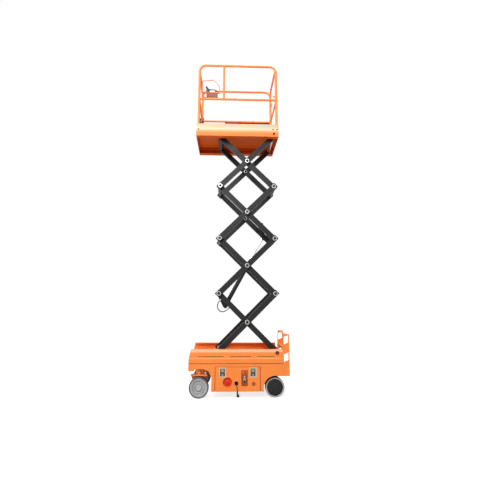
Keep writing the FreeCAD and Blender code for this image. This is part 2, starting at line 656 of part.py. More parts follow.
def tube_along(name, points, radius):
    """A cord's tube along straight runs joined by arcs, each as large as its runs allow."""
    corners = [FreeCAD.Vector(*point) for point in points]
    edges = []
    start = corners[0]
    for before, corner, after in zip(corners, corners[1:], corners[2:]):
        back = (before - corner).normalize()
        ahead = (after - corner).normalize()
        turn = math.pi - back.getAngle(ahead)
        reach = 0.45 * min((before - corner).Length, (after - corner).Length)
        bend = reach / math.tan(turn / 2)
        enter = corner + back * reach
        leave = corner + ahead * reach
        middle = corner + (back + ahead).normalize() * (math.hypot(bend, reach) - bend)
        edges.append(Part.LineSegment(start, enter).toShape())
        edges.append(Part.Arc(enter, middle, leave).toShape())
        start = leave
        print("bend radius %.1f" % bend)
    edges.append(Part.LineSegment(start, corners[-1]).toShape())
    path = Part.Wire(edges)
    section = Part.Wire(Part.Circle(corners[0], corners[1] - corners[0], radius).toShape())
    tube = path.makePipeShell([section], True, False)
    print("%s %.1f mm long, volume over section times length %.4f"
          % (name, path.Length, tube.Volume / (math.pi * radius ** 2 * path.Length)))
    cord = DOC.addObject("Part::Feature", name)
    cord.Shape = tube
    return cord


def charging_lead():
    lead = tube_along("lead", LEAD_POINTS, S.cable_radius.number)
    return place(lead, from_relief(LEAD_POINTS[0]))


# The lead's plug, from the end of the lead: (low, high) in x, half width in y, (low, high) in z.
PLUG_GRIP = ((-11, 11), 9, (-55, 0))
PLUG_HEAD = ((2, 22), 14, (-67, -39))
PLUG_PIN = ((22, 38), 3, (-59, -56))
PLUG_PIN_Y = 6
PLUG_PARTS = ((PLUG_GRIP, (0,)), (PLUG_HEAD, (0,)), (PLUG_PIN, (-PLUG_PIN_Y, PLUG_PIN_Y)))


def lead_plug():
    """The plug at the lead's end: grip, right-angled head and two flat pins."""
    end_x, end_y, end_z = from_relief(LEAD_POINTS[-1])
    parts = []
    for (x, half, z), middles in PLUG_PARTS:
        for middle in middles:
            y = end_y + middle
            parts.append(slab([end_x + along for along in x], (y - half, y + half),
                              [end_z + up for up in z]))
    return join(parts)


# Blocks in the bays: node, side and (start, end) of each from the bay's front end.
BAY_MASSES = (("batteries", 1, ((21, 201), (241, 421))), ("pump_and_tank", -1, ((41, 281), (341, 581))))


def bay_masses():
    """Plain blocks for the batteries, and for the pump with its tank."""
    for label, sign, spans in BAY_MASSES:
        y = across(sign, S.mass_inset, S.half_width - S.mass_inset - (20 if sign < 0 else 0))
        blocks = [slab((start - SKIRT_FRONT, end - SKIRT_FRONT), y, (BAY_FLOOR, DECK_UNDER - S.mass_gap))
                  for start, end in spans]
        node(label, group(blocks))


# Slanted windows in the ladder's side plates: lower and upper edge at the chassis, under the top.
LADDER_WINDOWS = ((124, 34), (332, 243))
# Undersides of the treads, under the ladder's top.
TREADS = (466, 196)


def ladder():
    """Two side plates, each with two slanted windows, and the treads between them."""
    back = S.chassis_rear
    top = S.ladder_top
    edge = S.window_edge
    rise = S.window_rise
    inside = (LADDER_LEFT + S.ladder_plate, LADDER_RIGHT - S.ladder_plate)
    parts = []
    for y in ((LADDER_LEFT, inside[0]), (inside[1], LADDER_RIGHT)):
        plate = panel(((back, S.rear_edge), (LADDER_END, S.rear_edge), (LADDER_END, top - 12),
                       (LADDER_END - 5, top), (back + 10, top), (back + 2, WALL_TOP + 4),
                       (back, WALL_TOP + 4)), y, "ladder_plate")
        windows = [panel(((back + edge, top - low), (LADDER_END - edge, top - low + rise),
                          (LADDER_END - edge, top - high + rise), (back + edge, top - high)), y, "window")
                   for low, high in LADDER_WINDOWS]
        parts.append(cut(plate, windows))
    for drop in TREADS:
        parts.append(slab((back + edge - 2, LADDER_END - 6), inside,
                          (top - drop, top - drop + S.tread_height)))
    parts.append(round_bar("y", S.tread_height / 2, inside, (LADDER_END - 34, top - 14)))
    return join(parts)


def arm_pair(top_stage, inner):
    """Two arms along x from their lower pin, joined by cross tubes in the inner layer."""
    low = INNER_FACE if inner else MIDDLE_FACE
    half = S.arm_depth / 2
    end = S.arm_length if top_stage else S.arm_length + S.arm_overhang
    parts = []
    for side, sign in SIDES:
        y = across(sign, low, low + S.arm_width)
        parts.append(slab((-S.arm_overhang, end), y, (-half, half)))
        if top_stage:
            parts.append(round_bar("y", half, y, (S.arm_length, 0)))
    if inner:
        for x in (0, S.arm_length):
            parts.append(round_bar("y", S.sleeve_radius, (-INNER_FACE, INNER_FACE), (x, 0)))
    return cut(join(parts), [pin_bore(x) for x in (0, S.arm_length / 2, S.arm_length)])


def pin_bore(x):
    return round_bar("y", PIN_BORE, (-OUTER_FACE, OUTER_FACE), (x, 0))


def ear_y(sign):
    return across(sign, S.ear_gap, S.ear_gap + S.ear_plate)


def barrel_ears():
    """Lugs near the upper end of the first inner pair, with the pin of the cylinder's foot."""
    eye = (S.arm_length - S.barrel_foot, S.barrel_drop)
    reach = S.ear_gap + S.ear_plate + 6
    parts = [round_bar("y", S.tie_radius, (-INNER_FACE, INNER_FACE), (S.arm_length - S.barrel_tie, 0)),
             round_bar("y", S.eye_pin, (-reach, reach), eye)]
    for side, sign in SIDES:
        parts.append(strap((S.arm_length, sized(0)), eye, S.ear_radius, ear_y(sign)))
    return cut(join(parts), [pin_bore(S.arm_length)])


def rod_ears():
    """Lugs near the lower end of the third inner pair, with a stub pin each side of the rod's eye."""
    eye = (S.rod_foot, S.rod_drop)
    tie = (S.rod_tie, -S.rod_tie_rise)
    parts = [round_bar("y", S.tie_radius, (-INNER_FACE, INNER_FACE), tie)]
    for side, sign in SIDES:
        parts.append(strap((sized(0), sized(0)), eye, S.ear_radius, ear_y(sign)))
        parts.append(strap(eye, tie, S.ear_radius - 6, ear_y(sign)))
        parts.append(round_bar("y", S.eye_pin, across(sign, S.ear_gap, S.ear_gap + S.ear_plate + 6), eye))
    return cut(join(parts), [pin_bore(0)])


# The hydraulic hose's loop under the first inner arm: x from the arm's upper pin, along the arm,
# and z from the fittings' ends.
HOSE_POINTS = ((-75, 0), (-75, 52), (-122, 105), (-192, 108), (-228, 52), (-228, 0))


def hose_fittings():
    """The two fittings on the arm's inner face that the hose's ends go into."""
    y = S.hose_inset - INNER_FACE
    parts = []
    for along in (HOSE_POINTS[0][0], HOSE_POINTS[-1][0]):
        x = S.arm_length + along
        parts.append(slab((x - S.fitting_radius, x + S.fitting_radius), (-INNER_FACE, y),
                          (0, S.fitting_height - 15)))
        parts.append(round_bar("z", S.fitting_radius, (0, S.fitting_height), (x, y)))
    return parts


def hose_loop():
    """The hose between its two fittings, in the arm's own frame."""
    hose = tube_along("hose", [(x, 0, z) for x, z in HOSE_POINTS], S.hose_radius.number)
    x = PIVOT_X - S.arm_length * cosine(S.arm_angle) - S.fitting_height * sine(S.arm_angle)
    z = PIVOT_Z + S.arm_length * sine(S.arm_angle) - S.fitting_height * cosine(S.arm_angle)
    return place(hose, (x, S.hose_inset - INNER_FACE, z), (0, 1, 0), S.arm_angle - 180)


# Lugs for the lift cylinder, by the stage whose inner pair carries them.
EARS = {0: barrel_ears, 2: rod_ears}


def pins(stage):
    """The steel pins that a pair of outer arms carries: cross shafts at its ends, stubs at its middle."""
    solids = []
    if stage > 0:
        solids.append(join([round_bar("y", S.pin_radius, (-OUTER_FACE, OUTER_FACE), (0, 0))] + caps(0)))
    if stage < 3:
        shaft = round_bar("y", S.pin_radius, (-OUTER_FACE, OUTER_FACE), (S.arm_length, 0))
        solids.append(join([shaft] + caps(S.arm_length)))
    else:
        reach = OUTER_FACE + 30
        solids.append(round_bar("y", S.pin_radius, (-reach, reach), (S.arm_length, 0)))
    x = S.arm_length / 2
    for cap, (side, sign) in zip(caps(x), SIDES):
        solids.append(join([round_bar("y", S.pin_radius, across(sign, INNER_FACE - 8, OUTER_FACE), (x, 0)),
                            round_bar("y", S.pin_radius + 6, across(sign, INNER_FACE - 8, INNER_FACE - 2),
                                      (x, 0)), cap]))
    return group(solids)


def caps(x):
    """The round cap of a pin and its bolt's head, on each side."""
    face = OUTER_FACE + S.cap_plate
    return [join([round_bar("y", S.cap_radius, across(sign, OUTER_FACE, face), (x, 0)),
                  round_bar("y", S.bolt_radius, across(sign, face, face + S.bolt_head), (x, 0))])
            for side, sign in SIDES]


def stack():
    """Eight pairs of arms and their pins, each turned to its lean about its lower pin."""
    for stage in range(4):
        z = PIVOT_Z + stage * STAGE_RISE
        name = "_%d" % (stage + 1)
        inner = arm_pair(stage == 3, True)
        if stage in EARS:
            inner = join([inner, EARS[stage]()] + (hose_fittings() if stage == 0 else []))
        node("arms%s_inner" % name, place(inner, (PIVOT_X, 0, z), (0, 1, 0), S.arm_angle - 180))
        outer = {"arms%s_outer" % name: arm_pair(stage == 3, False), "pins" + name: pins(stage)}
        for label, thing in outer.items():
            node(label, place(thing, (LEFT_X, 0, z), (0, 1, 0), -S.arm_angle))


def rollers(z):
    """A cross shaft with a roller at each end."""
    reach = OUTER_FACE + S.track_gap + 1
    parts = [round_bar("y", S.pin_radius, (-reach, reach), (LEFT_X, z))]
    for side, sign in SIDES:
        roller_y = across(sign, reach, reach + S.roller_width)
        parts.append(round_bar("y", S.roller_radius, roller_y, (LEFT_X, z)))
    return join(parts)


def cylinder_place():
    """Where the lift cylinder's foot is, how steeply it stands and how far its rod's eye is."""
    along = S.arm_length - S.barrel_foot
    foot_x = PIVOT_X - along * cosine(S.arm_angle) - S.barrel_drop * sine(S.arm_angle)
    foot_z = PIVOT_Z + along * sine(S.arm_angle) - S.barrel_drop * cosine(S.arm_angle)
    head_x = PIVOT_X - S.rod_foot * cosine(S.arm_angle) - S.rod_drop * sine(S.arm_angle)
    head_z = PIVOT_Z + 2 * STAGE_RISE + S.rod_foot * sine(S.arm_angle) - S.rod_drop * cosine(S.arm_angle)
    run = head_x - foot_x
    rise = head_z - foot_z
    return (foot_x, 0, foot_z), slope(rise, run), distance(run, rise)


def cylinder_eye(x, bore):
    """An eye between the lugs, and the tool that bores it."""
    y = (1 - S.ear_gap, S.ear_gap - 1)
    return round_bar("y", S.eye_radius, y, (x, 0)), round_bar("y", bore, y, (x, 0))


def barrel():
    """The lift cylinder's barrel with its foot eye, open bore, gland and two hose ports."""
    foot, angle, reach = cylinder_place()
    eye, eye_bore = cylinder_eye(0, S.eye_pin + S.running_gap)
    gland_start = S.barrel_length - S.gland_length
    body = join([round_bar("x", S.barrel_radius, (0, S.barrel_length), (0, 0)), eye,
                 round_bar("x", S.gland_radius, (gland_start, S.barrel_length), (0, 0))]
                + [round_bar("z", S.port_radius, (0, S.barrel_radius + S.port_reach), (x, 0))
                   for x in (2 * S.eye_radius, gland_start - S.gland_length)])
    tools = [eye_bore,
             round_bar("x", S.bore_radius, (S.eye_radius + 12, gland_start), (0, 0)),
             round_bar("x", S.rod_radius + S.running_gap, (gland_start, S.barrel_length), (0, 0))]
    return place(cut(body, tools), foot, (0, 1, 0), -angle)


def rod():
    """The lift cylinder's rod with its piston and its eye."""
    foot, angle, reach = cylinder_place()
    eye, eye_bore = cylinder_eye(reach, S.eye_pin + 1)
    shaft = round_bar("x", S.rod_radius, (S.rod_start, reach), (0, 0))
    piston_x = (S.rod_start, S.rod_start + S.piston_length)
    piston = round_bar("x", S.bore_radius - S.running_gap, piston_x, (0, 0))
    return place(cut(join([shaft, piston, eye]), [eye_bore]), foot, (0, 1, 0), -angle)


def platform_deck():
    """Side plates with bottom flanges, roller tracks, pivot lugs, end plates and the two-layer floor."""
    high = PLATFORM_LOW + S.side_height
    x = (-S.platform_front, S.platform_rear)
    post = S.tube_radius + S.tread_gap
    parts = [slab(x, (-WALL_MIDDLE, WALL_MIDDLE), (PLATFORM_FLOOR, RAIL_BOTTOM)),
             slab((post - RAIL_FRONT, RAIL_REAR - post), (post - RAIL_Y, RAIL_Y - post),
                  (RAIL_BOTTOM, RAIL_BOTTOM + S.tread_plate))]
    for end in ((x[0], x[0] + S.plate), (x[1] - S.plate, x[1])):
        parts.append(slab(end, (-WALL_MIDDLE, WALL_MIDDLE), (PLATFORM_LOW, high)))
    track = PLATFORM_Z + S.roller_radius + S.running_gap
    for side, sign in SIDES:
        wall_y = across(sign, WALL_MIDDLE, S.half_width)
        hole = round_bar("y", S.pin_radius - 2, wall_y, (PIVOT_X, PLATFORM_Z))
        parts += [cut(slab(x, wall_y, (PLATFORM_LOW, high)), [hole]),
                  slab(x, across(sign, S.half_width - S.flange_depth, WALL_MIDDLE),
                       (PLATFORM_LOW, PLATFORM_LOW + S.plate)),
                  slab(x, across(sign, OUTER_FACE + S.track_gap, WALL_MIDDLE), (track, track + S.plate))]
        for inward, radius in ((OUTER_FACE + S.track_gap, S.lug_radius),
                               (MIDDLE_FACE - 18, S.arm_depth / 2 - 1)):
            y = across(sign, inward, inward + S.bracket_plate)
            parts += [slab((PIVOT_X - radius, PIVOT_X + radius), y, (PLATFORM_Z, PLATFORM_FLOOR)),
                      round_bar("y", radius, y, (PIVOT_X, PLATFORM_Z))]
    reach = OUTER_FACE + 32
    return cut(join(parts), [round_bar("y", PIN_BORE, (-reach, reach), (PIVOT_X, PLATFORM_Z))])


def side_rail(sign):
    """A hoop with rounded top corners, its middle rail and, on the left, a short upright."""
    y = sign * RAIL_Y
    tube = S.tube_radius
    bend = S.rail_bend
    corner = RAIL_TOP - bend
    parts = [round_bar("z", tube, (RAIL_BOTTOM, corner), (x, y)) for x in (-RAIL_FRONT, RAIL_REAR)]
    parts += [round_bar("x", tube, (bend - RAIL_FRONT, RAIL_REAR - bend), (y, RAIL_TOP)),
              round_bar("x", tube - 1, (-RAIL_FRONT, RAIL_REAR), (y, RAIL_MIDDLE)),
              quarter("y", bend, tube, (bend - RAIL_FRONT, y, corner), -90),
              quarter("y", bend, tube, (RAIL_REAR - bend, y, corner), 0)]
    if sign < 0:
        parts.append(round_bar("z", tube - 2, (RAIL_MIDDLE, RAIL_TOP), (-S.stub_post_x, y)))
    return join(parts)


def front_rail():
    """The two rails across the front end."""
    reach = RAIL_Y - S.tube_radius - S.running_gap
    return group([round_bar("y", S.tube_radius, (-reach, reach), (-RAIL_FRONT, z))
                  for z in (RAIL_MIDDLE, RAIL_TOP - S.rail_bend - 10)])


def gate():
    """The entry gate: a closed hoop with a middle rail, hung on the right-hand post."""
    tube = S.gate_tube
    bend = S.gate_bend
    low = PLATFORM_LOW + S.side_height + S.gate_rise + tube
    high = RAIL_TOP - tube
    side = GATE_REACH - bend
    parts = [round_bar("z", tube, (low + bend, high - bend), (RAIL_REAR, y))
             for y in (-GATE_REACH, GATE_REACH)]
    parts += [round_bar("y", tube, (-side, side), (RAIL_REAR, z)) for z in (low, high)]
    parts.append(round_bar("y", tube - 2, (-GATE_REACH, GATE_REACH), (RAIL_REAR, RAIL_MIDDLE)))
    for y, z, spin in ((side, high - bend, 0), (-side, high - bend, 90),
                       (-side, low + bend, 180), (side, low + bend, 270)):
        parts.append(quarter("x", bend, tube, (RAIL_REAR, y, z), spin))
    return join(parts)


def gate_hinges():
    """Two collars on the right-hand post, round the gate's upright."""
    solids = []
    for z in (RAIL_BOTTOM + S.collar_low, RAIL_TOP - S.collar_high):
        height = (z, z + S.collar_height)
        ring = join([round_bar("z", S.gate_tube + 7, height, (RAIL_REAR, GATE_REACH)),
                     slab((RAIL_REAR - 9, RAIL_REAR + 9), (GATE_REACH, RAIL_Y - S.tube_radius + 1), height)])
        solids.append(cut(ring, [round_bar("z", S.gate_tube + S.running_gap, height, (RAIL_REAR, GATE_REACH)),
                                 round_bar("z", S.tube_radius + 0.1, height, (RAIL_REAR, RAIL_Y))]))
    return group(solids)


# The rod guard beside the control box: x from the front rail and z from the straps.
GUARD = ((20, 180), (195, 199), (276, 100), (278, -7))
# The joystick: x from the front rail and z from the straps, at its foot and its knob.
STICK = ((136, 50), (80, 130))


def platform_controls():
    """The control box on its two straps at the front end, with its joystick and its rod guard."""
    x = -RAIL_FRONT
    z = RAIL_TOP - S.control_drop
    back = x + S.tube_radius + S.running_gap
    half = S.control_half
    start = x + half
    end = start + S.control_length
    strap_z = (z - 4 - S.plate, z - 4)
    guard_strap = (-half - 16, S.strap_width - half - 16)
    bracket = [slab((back, back + S.plate), (-half - 10, half + 10), (z - 40, RAIL_TOP - S.rail_bend + 10)),
               slab((back, x + GUARD[-1][0] + 4), guard_strap, strap_z),
               slab((back, end - 12), (half - S.strap_width, half), strap_z)]
    bracket += bent_rod([(x + along, z + up) for along, up in GUARD], -half - 8, S.guard_radius)
    box = panel(((start, z - 4), (end, z - 4), (end, z + S.control_front - 12),
                 (end - 14, z + S.control_front), (start, z + S.control_back)), (-half, half), "box")
    foot, knob = [(x + along, z + up) for along, up in STICK]
    stick = bent_rod((foot, knob), 0, S.eye_pin / 2)
    stick += [ball(S.eye_pin, (knob[0], 0, knob[1])), round_bar("z", 22, (z + 46, z + 66), (foot[0], 0))]
    return join(bracket), box, cut(join(stick), [box])


node("chassis_side_left", chassis_side(-1))
node("chassis_side_right", chassis_side(1))
node("chassis_deck", chassis_deck())
node("bay_frame", bay_frame())
node("rear_panel", rear_panel())
node("front_axle", front_axle())
node("rear_axle", rear_axle())
node("ladder", ladder())
for side, sign in SIDES:
    node("door_" + side, door(sign))
    node("latches_" + side, latches(sign))
    node("knuckle_" + side, knuckle(sign))
    for end, wheel, face in (("front", FRONT, FRONT_FACE), ("rear", REAR, REAR_FACE)):
        node("tyre_%s_%s" % (end, side), tyre(sign, wheel))
        node("hub_%s_%s" % (end, side), hub(sign, wheel, face))
node("tie_rod", tie_rod())
bay_masses()
node("ground_controls", ground_controls())
node("cable_gland", cable_gland())
node("charging_lead", charging_lead())
node("lead_plug", lead_plug())
stack()
node("hose_loop", hose_loop())
node("rollers_lower", rollers(PIVOT_Z))
node("rollers_upper", rollers(PLATFORM_Z))
node("cylinder_barrel", barrel())
node("cylinder_rod", rod())
node("platform_deck", platform_deck())
for side, sign in SIDES:
    node("guardrail_" + side, side_rail(sign))
node("guardrail_front", front_rail())
node("gate", gate())
node("gate_hinges", gate_hinges())
for label, thing in zip(("control_bracket", "control_box", "joystick"), platform_controls()):
    node(label, thing)

DOC.recompute()
for thing in DOC.Objects:
    if "Invalid" in thing.State or "Error" in thing.State:
        raise RuntimeError("%s (%s) failed: %s" % (thing.Name, thing.Label, thing.getStatusString()))
os.makedirs("parts", exist_ok=True)
for thing in NODES:
    if thing.Shape.isNull() or not thing.Shape.isValid():
        raise RuntimeError("%s has no valid shape" % thing.Label)
for thing in NODES:
    thing.Shape.exportStep("parts/%s.step" % thing.Label)
print("wrote %d nodes" % len(NODES))
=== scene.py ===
import json
import math

import bmesh
import bpy
from mathutils import Matrix, Vector

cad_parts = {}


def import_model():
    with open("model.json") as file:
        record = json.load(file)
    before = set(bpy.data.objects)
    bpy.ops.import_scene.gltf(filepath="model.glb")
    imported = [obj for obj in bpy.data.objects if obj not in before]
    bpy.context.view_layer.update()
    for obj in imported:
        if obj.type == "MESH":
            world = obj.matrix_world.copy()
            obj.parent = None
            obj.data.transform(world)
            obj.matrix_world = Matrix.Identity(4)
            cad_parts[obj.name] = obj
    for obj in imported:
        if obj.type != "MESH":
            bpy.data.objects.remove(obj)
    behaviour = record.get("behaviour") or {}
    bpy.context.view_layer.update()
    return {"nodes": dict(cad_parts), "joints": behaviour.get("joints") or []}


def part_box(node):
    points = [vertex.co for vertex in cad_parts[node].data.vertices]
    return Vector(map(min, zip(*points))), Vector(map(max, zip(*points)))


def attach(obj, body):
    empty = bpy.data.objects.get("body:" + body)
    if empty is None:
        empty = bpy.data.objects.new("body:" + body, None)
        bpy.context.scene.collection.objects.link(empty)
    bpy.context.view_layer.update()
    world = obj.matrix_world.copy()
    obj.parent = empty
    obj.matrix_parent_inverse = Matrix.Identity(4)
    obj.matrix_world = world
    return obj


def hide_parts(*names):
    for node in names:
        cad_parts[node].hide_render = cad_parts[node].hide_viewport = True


# A small self-propelled scissor lift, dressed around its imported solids. Metres, in the solids' frame:
# +X points from the steered end to the ladder, -Y is the side with the ground controls, +Z is up.
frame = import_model()
NODES = frame["nodes"]
JOINTS = {joint["name"]: Vector(joint["pos_m"]) for joint in frame["joints"] if "pos_m" in joint}
SIDES = (("left", -1), ("right", 1))

# The photograph's frame and its view, found from the object's known corners, and how far it is clear.
PHOTO_WIDTH = 480
FOCAL_PIXELS = 376.93
AXIS_PIXEL_Y = 220.5
SENSOR = 36
CAMERA_PLACE = Vector((-0.173, -5.279, 1.228))
CAMERA_YAW = 0.0358
CAMERA_PITCH = 0.1961
CAMERA_ROLL = 0.0037
CLEAR_VIEW = 60

# How far out the painted light on the left side starts, and how wide the paler edges are: wear and painted
# highlight.
PAINTED_LIGHT_REACH = 0.3738
EDGE_WEAR_AND_HIGHLIGHT = 0.0022

# The light: the floor's half width, tone and glow, the sky's strength, and the lamps, each with its name,
# its place, what it faces, its width and height, and its power.
FLOOR_REACH = 14
FLOOR_TONE = 0.4
FLOOR_GLOW = 0.78
SKY_LIGHT = 0.58
LAMPS = (
    ("front_lamp", (-1.6, -5.6, 5.4), (0.0, 0.0, 2.2), (3.6, 2.4), 385),
    ("side_lamp", (-5.0, -1.5, 3.6), (0.0, 0.0, 2.0), (2.4, 3.6), 160),
    ("top_lamp", (0.6, 0.6, 7.2), (0.0, 0.0, 2.0), (3.0, 3.0), 150),
)

# The scissor stack, read from the solids: its first pivot, what a stage rises, how far an arm leans from
# level, an arm's length between its end pins, and the outer face of the outer arms.
PIVOT = JOINTS["scissor_raise"]
LEFT_FOOT = JOINTS["stage_2_foot"]
RISE = LEFT_FOOT.z - PIVOT.z
LEAN = math.atan2(RISE, PIVOT.x - LEFT_FOOT.x)
ARM = math.hypot(RISE, PIVOT.x - LEFT_FOOT.x)
ARM_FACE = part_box("arms_2_outer")[1].y
STAGES = 4
# The inner faces of the inner arms, the inner end of the gap between the layers, the pins and their caps.
ARM_INNER_FACE = 0.195
LAYER_GAP = 0.2334
PIN_RADIUS = 0.018
SHAFT_END = 0.030
CAP_RADIUS = 0.029
CAP = 0.007
BOLT = 0.005

# The lift cylinder's foot, as (back from the upper pin, over the arm), its rod's eye, as (from the lower
# pin, over the arm), its gland nut and a port's nut as (radius, along) points, and its ports' places.
CYLINDER_FOOT = (0.177, 0.057)
ROD_EYE = (0.135, 0.050)
GLAND_NUT = ((0.0302, 0.617), (0.0335, 0.617), (0.0335, 0.6375), (0.0302, 0.6405), (0.0184, 0.6405),
             (0.0184, 0.6398), (0.0302, 0.6398), (0.0302, 0.617))
PORT_NUT = ((0.0091, 0.0385), (0.0105, 0.0385), (0.0105, 0.0435), (0.0070, 0.0455), (0, 0.0455),
            (0, 0.0431), (0.0091, 0.0431), (0.0091, 0.0385))
PORTS = (0.056, 0.590)

# The hose's loop, with the same points as its solid: x from the arm's upper pin, along the arm, and z from
# the ends of its two fittings, in millimetres. A fitting's crimped sleeve is given as (radius, z) points.
HOSE_POINTS = ((-75, 0), (-75, 52), (-122, 105), (-192, 108), (-228, 52), (-228, 0))
HOSE_Y = -0.172
HOSE_START = 0.045
HOSE_RADIUS = 0.006
SLEEVE = ((0.0061, 0.0452), (0.0088, 0.0452), (0.0094, 0.0470), (0.0094, 0.0500), (0.0084, 0.0510),
          (0.0084, 0.0530), (0.0094, 0.0540), (0.0094, 0.0570), (0.0084, 0.0580), (0.0084, 0.0600),
          (0.0090, 0.0610), (0.0080, 0.0640), (0.0061, 0.0645), (0.0061, 0.0452))

# The charging lead, with the same points as its solid, and the grip of its plug as (radius, z) points.
LEAD_START = Vector((-0.035, -0.363, 0.173))
LEAD_POINTS = ((0, 0, 0), (0, -0.020, 0), (0.002, -0.0385, -0.011), (0.006, -0.048, -0.032),
               (0.013, -0.049, -0.060), (0.013, -0.049, -0.082))
LEAD_RADIUS = 0.004
PLUG_GRIP = ((0, 0), (0.0062, 0), (0.0075, -0.004), (0.0095, -0.018), (0.0105, -0.052), (0, -0.052))
PLUG_PIN_Y = 0.006

# The left door: its outer face, half a latch's width, the middles, floors and sizes of the button's cup
# and of the tray, which spans TRAY in z, the round lock and the rivets. Buttons are (radius, y) points.
GROUND_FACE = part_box("door_left")[0].y
DOOR_FACE = abs(GROUND_FACE)
LATCH_HALF = 0.044
CUP = Vector((-0.143, 0, 0.186))
CUP_FLOOR = 0.354
CUP_RADIUS = 0.0534
TRAY_X = 0.066
TRAY_HALF = 0.0385
TRAY = (0.139, 0.325)
TRAY_FLOOR = 0.360
LOCK = Vector((0.178, 0, 0.168))
RED_BUTTON = ((0, -0.3755), (0.008, -0.3755), (0.018, -0.3745), (0.026, -0.3722), (0.0292, -0.3695),
              (0.030, -0.3670), (0.0292, -0.3662), (0.016, -0.3662), (0, -0.3662))
STOP_BUTTON = ((0, -0.3755), (0.008, -0.3755), (0.015, -0.3742), (0.0188, -0.371), (0.0192, -0.368),
               (0.0170, -0.3655), (0.010, -0.3645), (0.010, -TRAY_FLOOR - 0.003), (0, -TRAY_FLOOR - 0.003))
RIVETS = (-0.091, -0.023)
RIVET_Z = 0.3205

# The steering: the front wheels' kingpins, the ball pins and the cheeks' bolts along x from them, and the
# low and high ends of what stands on the knuckles.
FRONT_AXLE = -0.494
KINGPIN_Y = 0.312
BALL_PIN = 0.080
CHEEK_BOLTS = (-0.090, -0.055, 0.045)
BALL_NUT = (0.2912, 0.2985)
BALL_END = (0.2975, 0.3025)
KINGPIN_NUT = (0.2485, 0.2552)
KINGPIN_COLLAR = (0.2665, 0.2715)
CHEEK_WASHER = (0.2668, 0.2686)
CHEEK_HEAD = (0.2682, 0.2728)

# The chassis: the strips of painted shade in its walls' long slots and in the joints beside the doors, as
# spans in x, z and from the middle, the same for the pivot pins' ends and rims, which are painted shade
# too, and the ladder's treads and bolts in z.
WALL_SLOTS = ((-0.512, -0.195), (-0.110, 0.146), (0.228, 0.440))
SLOT_Z = (0.4799, 0.4879)
SLOT_FLOOR = (0.3678, 0.3688)
DOOR_JOINTS = ((-0.2995, -0.2925), (0.2555, 0.2625))
DOOR_JOINT_Z = (0.092, 0.3655)
DOOR_JOINT_FLOOR = (0.3712, 0.3742)
PIVOT_END = (0.3485, 0.3505)
PIVOT_HEAD = (0.3500, 0.3560)
PIVOT_RIM = (0.3735, 0.3752)
TREADS = (0.310, 0.580)
TREAD_START = -0.348
TREAD_END = 0.135
LADDER_FACE = 0.5424
LADDER_BOLTS = (0.330, 0.420, 0.500)
BATTERY_LENGTH = 0.180
TANK_LENGTH = 0.240
PUMP_LENGTH = 0.240

# The platform: the rails' tube and places, read from the solids, and the short upright on the left.
TUBE = 0.0165
RAIL_LOW, RAIL_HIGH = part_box("guardrail_left")
POST_FRONT = RAIL_LOW.x + TUBE
POST_REAR = RAIL_HIGH.x - TUBE
RAIL_Y = -(RAIL_LOW.y + TUBE)
POST_FOOT = RAIL_LOW.z
RAIL_TOP = RAIL_HIGH.z - TUBE
RAIL_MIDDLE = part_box("guardrail_front")[0].z + TUBE
RAIL_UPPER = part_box("guardrail_front")[1].z - TUBE
UPRIGHT = -0.233
# How far out the posts' foot plates reach, their thickness and their bolts, and the front rails' ends.
FOOT_PLATE_Y = (0.3306, 0.3725)
FOOT_PLATE = 0.006
FOOT_BOLT_Y = 0.3365
FRONT_RAIL_END = 0.3342
# The floor's half width inside the rails, the side's face and its bolts in x and z, the pipe's span and
# its clips in x, and the clamp's rings in z.
TREAD_PLATE_Y = 0.322
SIDE_FACE = 0.380
SIDE_BOLTS = ((-0.578, 3.490), (0.459, 3.503), (0.515, 3.503))
PIPE = (-0.218, 0.497)
PIPE_Z = 3.9378
PIPE_CLIPS = (-0.205, 0.023, 0.232, 0.442)
CLAMP_RINGS = ((3.930, 3.9445), (3.9815, 4.012))
CLAMP_RADIUS = 0.0262
# The gate's free upright, the middle and the collar of its latch in z, its tongue's end, and its pull
# knob as (radius, x) points.
GATE_POST_Y = -(RAIL_Y - TUBE - 0.022)
GATE_LATCH = 4.038
GATE_COLLAR = (4.016, 4.060)
TONGUE_END = -0.3340
PULL_KNOB = ((0, -0.029), (0.006, -0.029), (0.0105, -0.033), (0.0115, -0.038), (0.0095, -0.043),
             (0.004, -0.0455), (0, -0.0455))
# The control box's half width to the outside of its cheeks, the stop button on its panel as (radius, z)
# points, and where the joystick's foot and knob are.
BOX_HALF = 0.080
BOX_STOP = ((0, 0.003), (0.009, 0.003), (0.0095, 0.010), (0.0165, 0.013), (0.0175, 0.017), (0.014, 0.0215),
            (0.006, 0.0235), (0, 0.0235))
STICK_FOOT = Vector((-0.446, 0, 4.2713))
STICK_KNOB = Vector((-0.502, 0, 4.3513))


def camera():
    data = bpy.data.cameras.new("camera")
    data.sensor_width = SENSOR
    data.lens = FOCAL_PIXELS / PHOTO_WIDTH * SENSOR
    data.shift_y = (AXIS_PIXEL_Y - PHOTO_WIDTH / 2) / PHOTO_WIDTH
    data.clip_end = CLEAR_VIEW
    eye = bpy.data.objects.new("camera", data)
    bpy.context.scene.collection.objects.link(eye)
    turn = (Matrix.Rotation(-CAMERA_YAW, 4, "Z") @ Matrix.Rotation(math.pi / 2 + CAMERA_PITCH, 4, "X")
            @ Matrix.Rotation(CAMERA_ROLL, 4, "Z"))
    eye.matrix_world = Matrix.Translation(CAMERA_PLACE) @ turn
    bpy.context.scene.camera = eye
    bpy.context.scene.view_settings.view_transform = "Standard"


# Materials. A tone is a colour as it is seen on a screen, from 0 to 255.

def tone(red, green, blue):
    """A screen colour as the linear colour that a shader reads."""
    shares = [value / 255 for value in (red, green, blue)]
    linear = [share / 12.92 if share <= 0.04045 else ((share + 0.055) / 1.055) ** 2.4 for share in shares]
    return linear + [1]


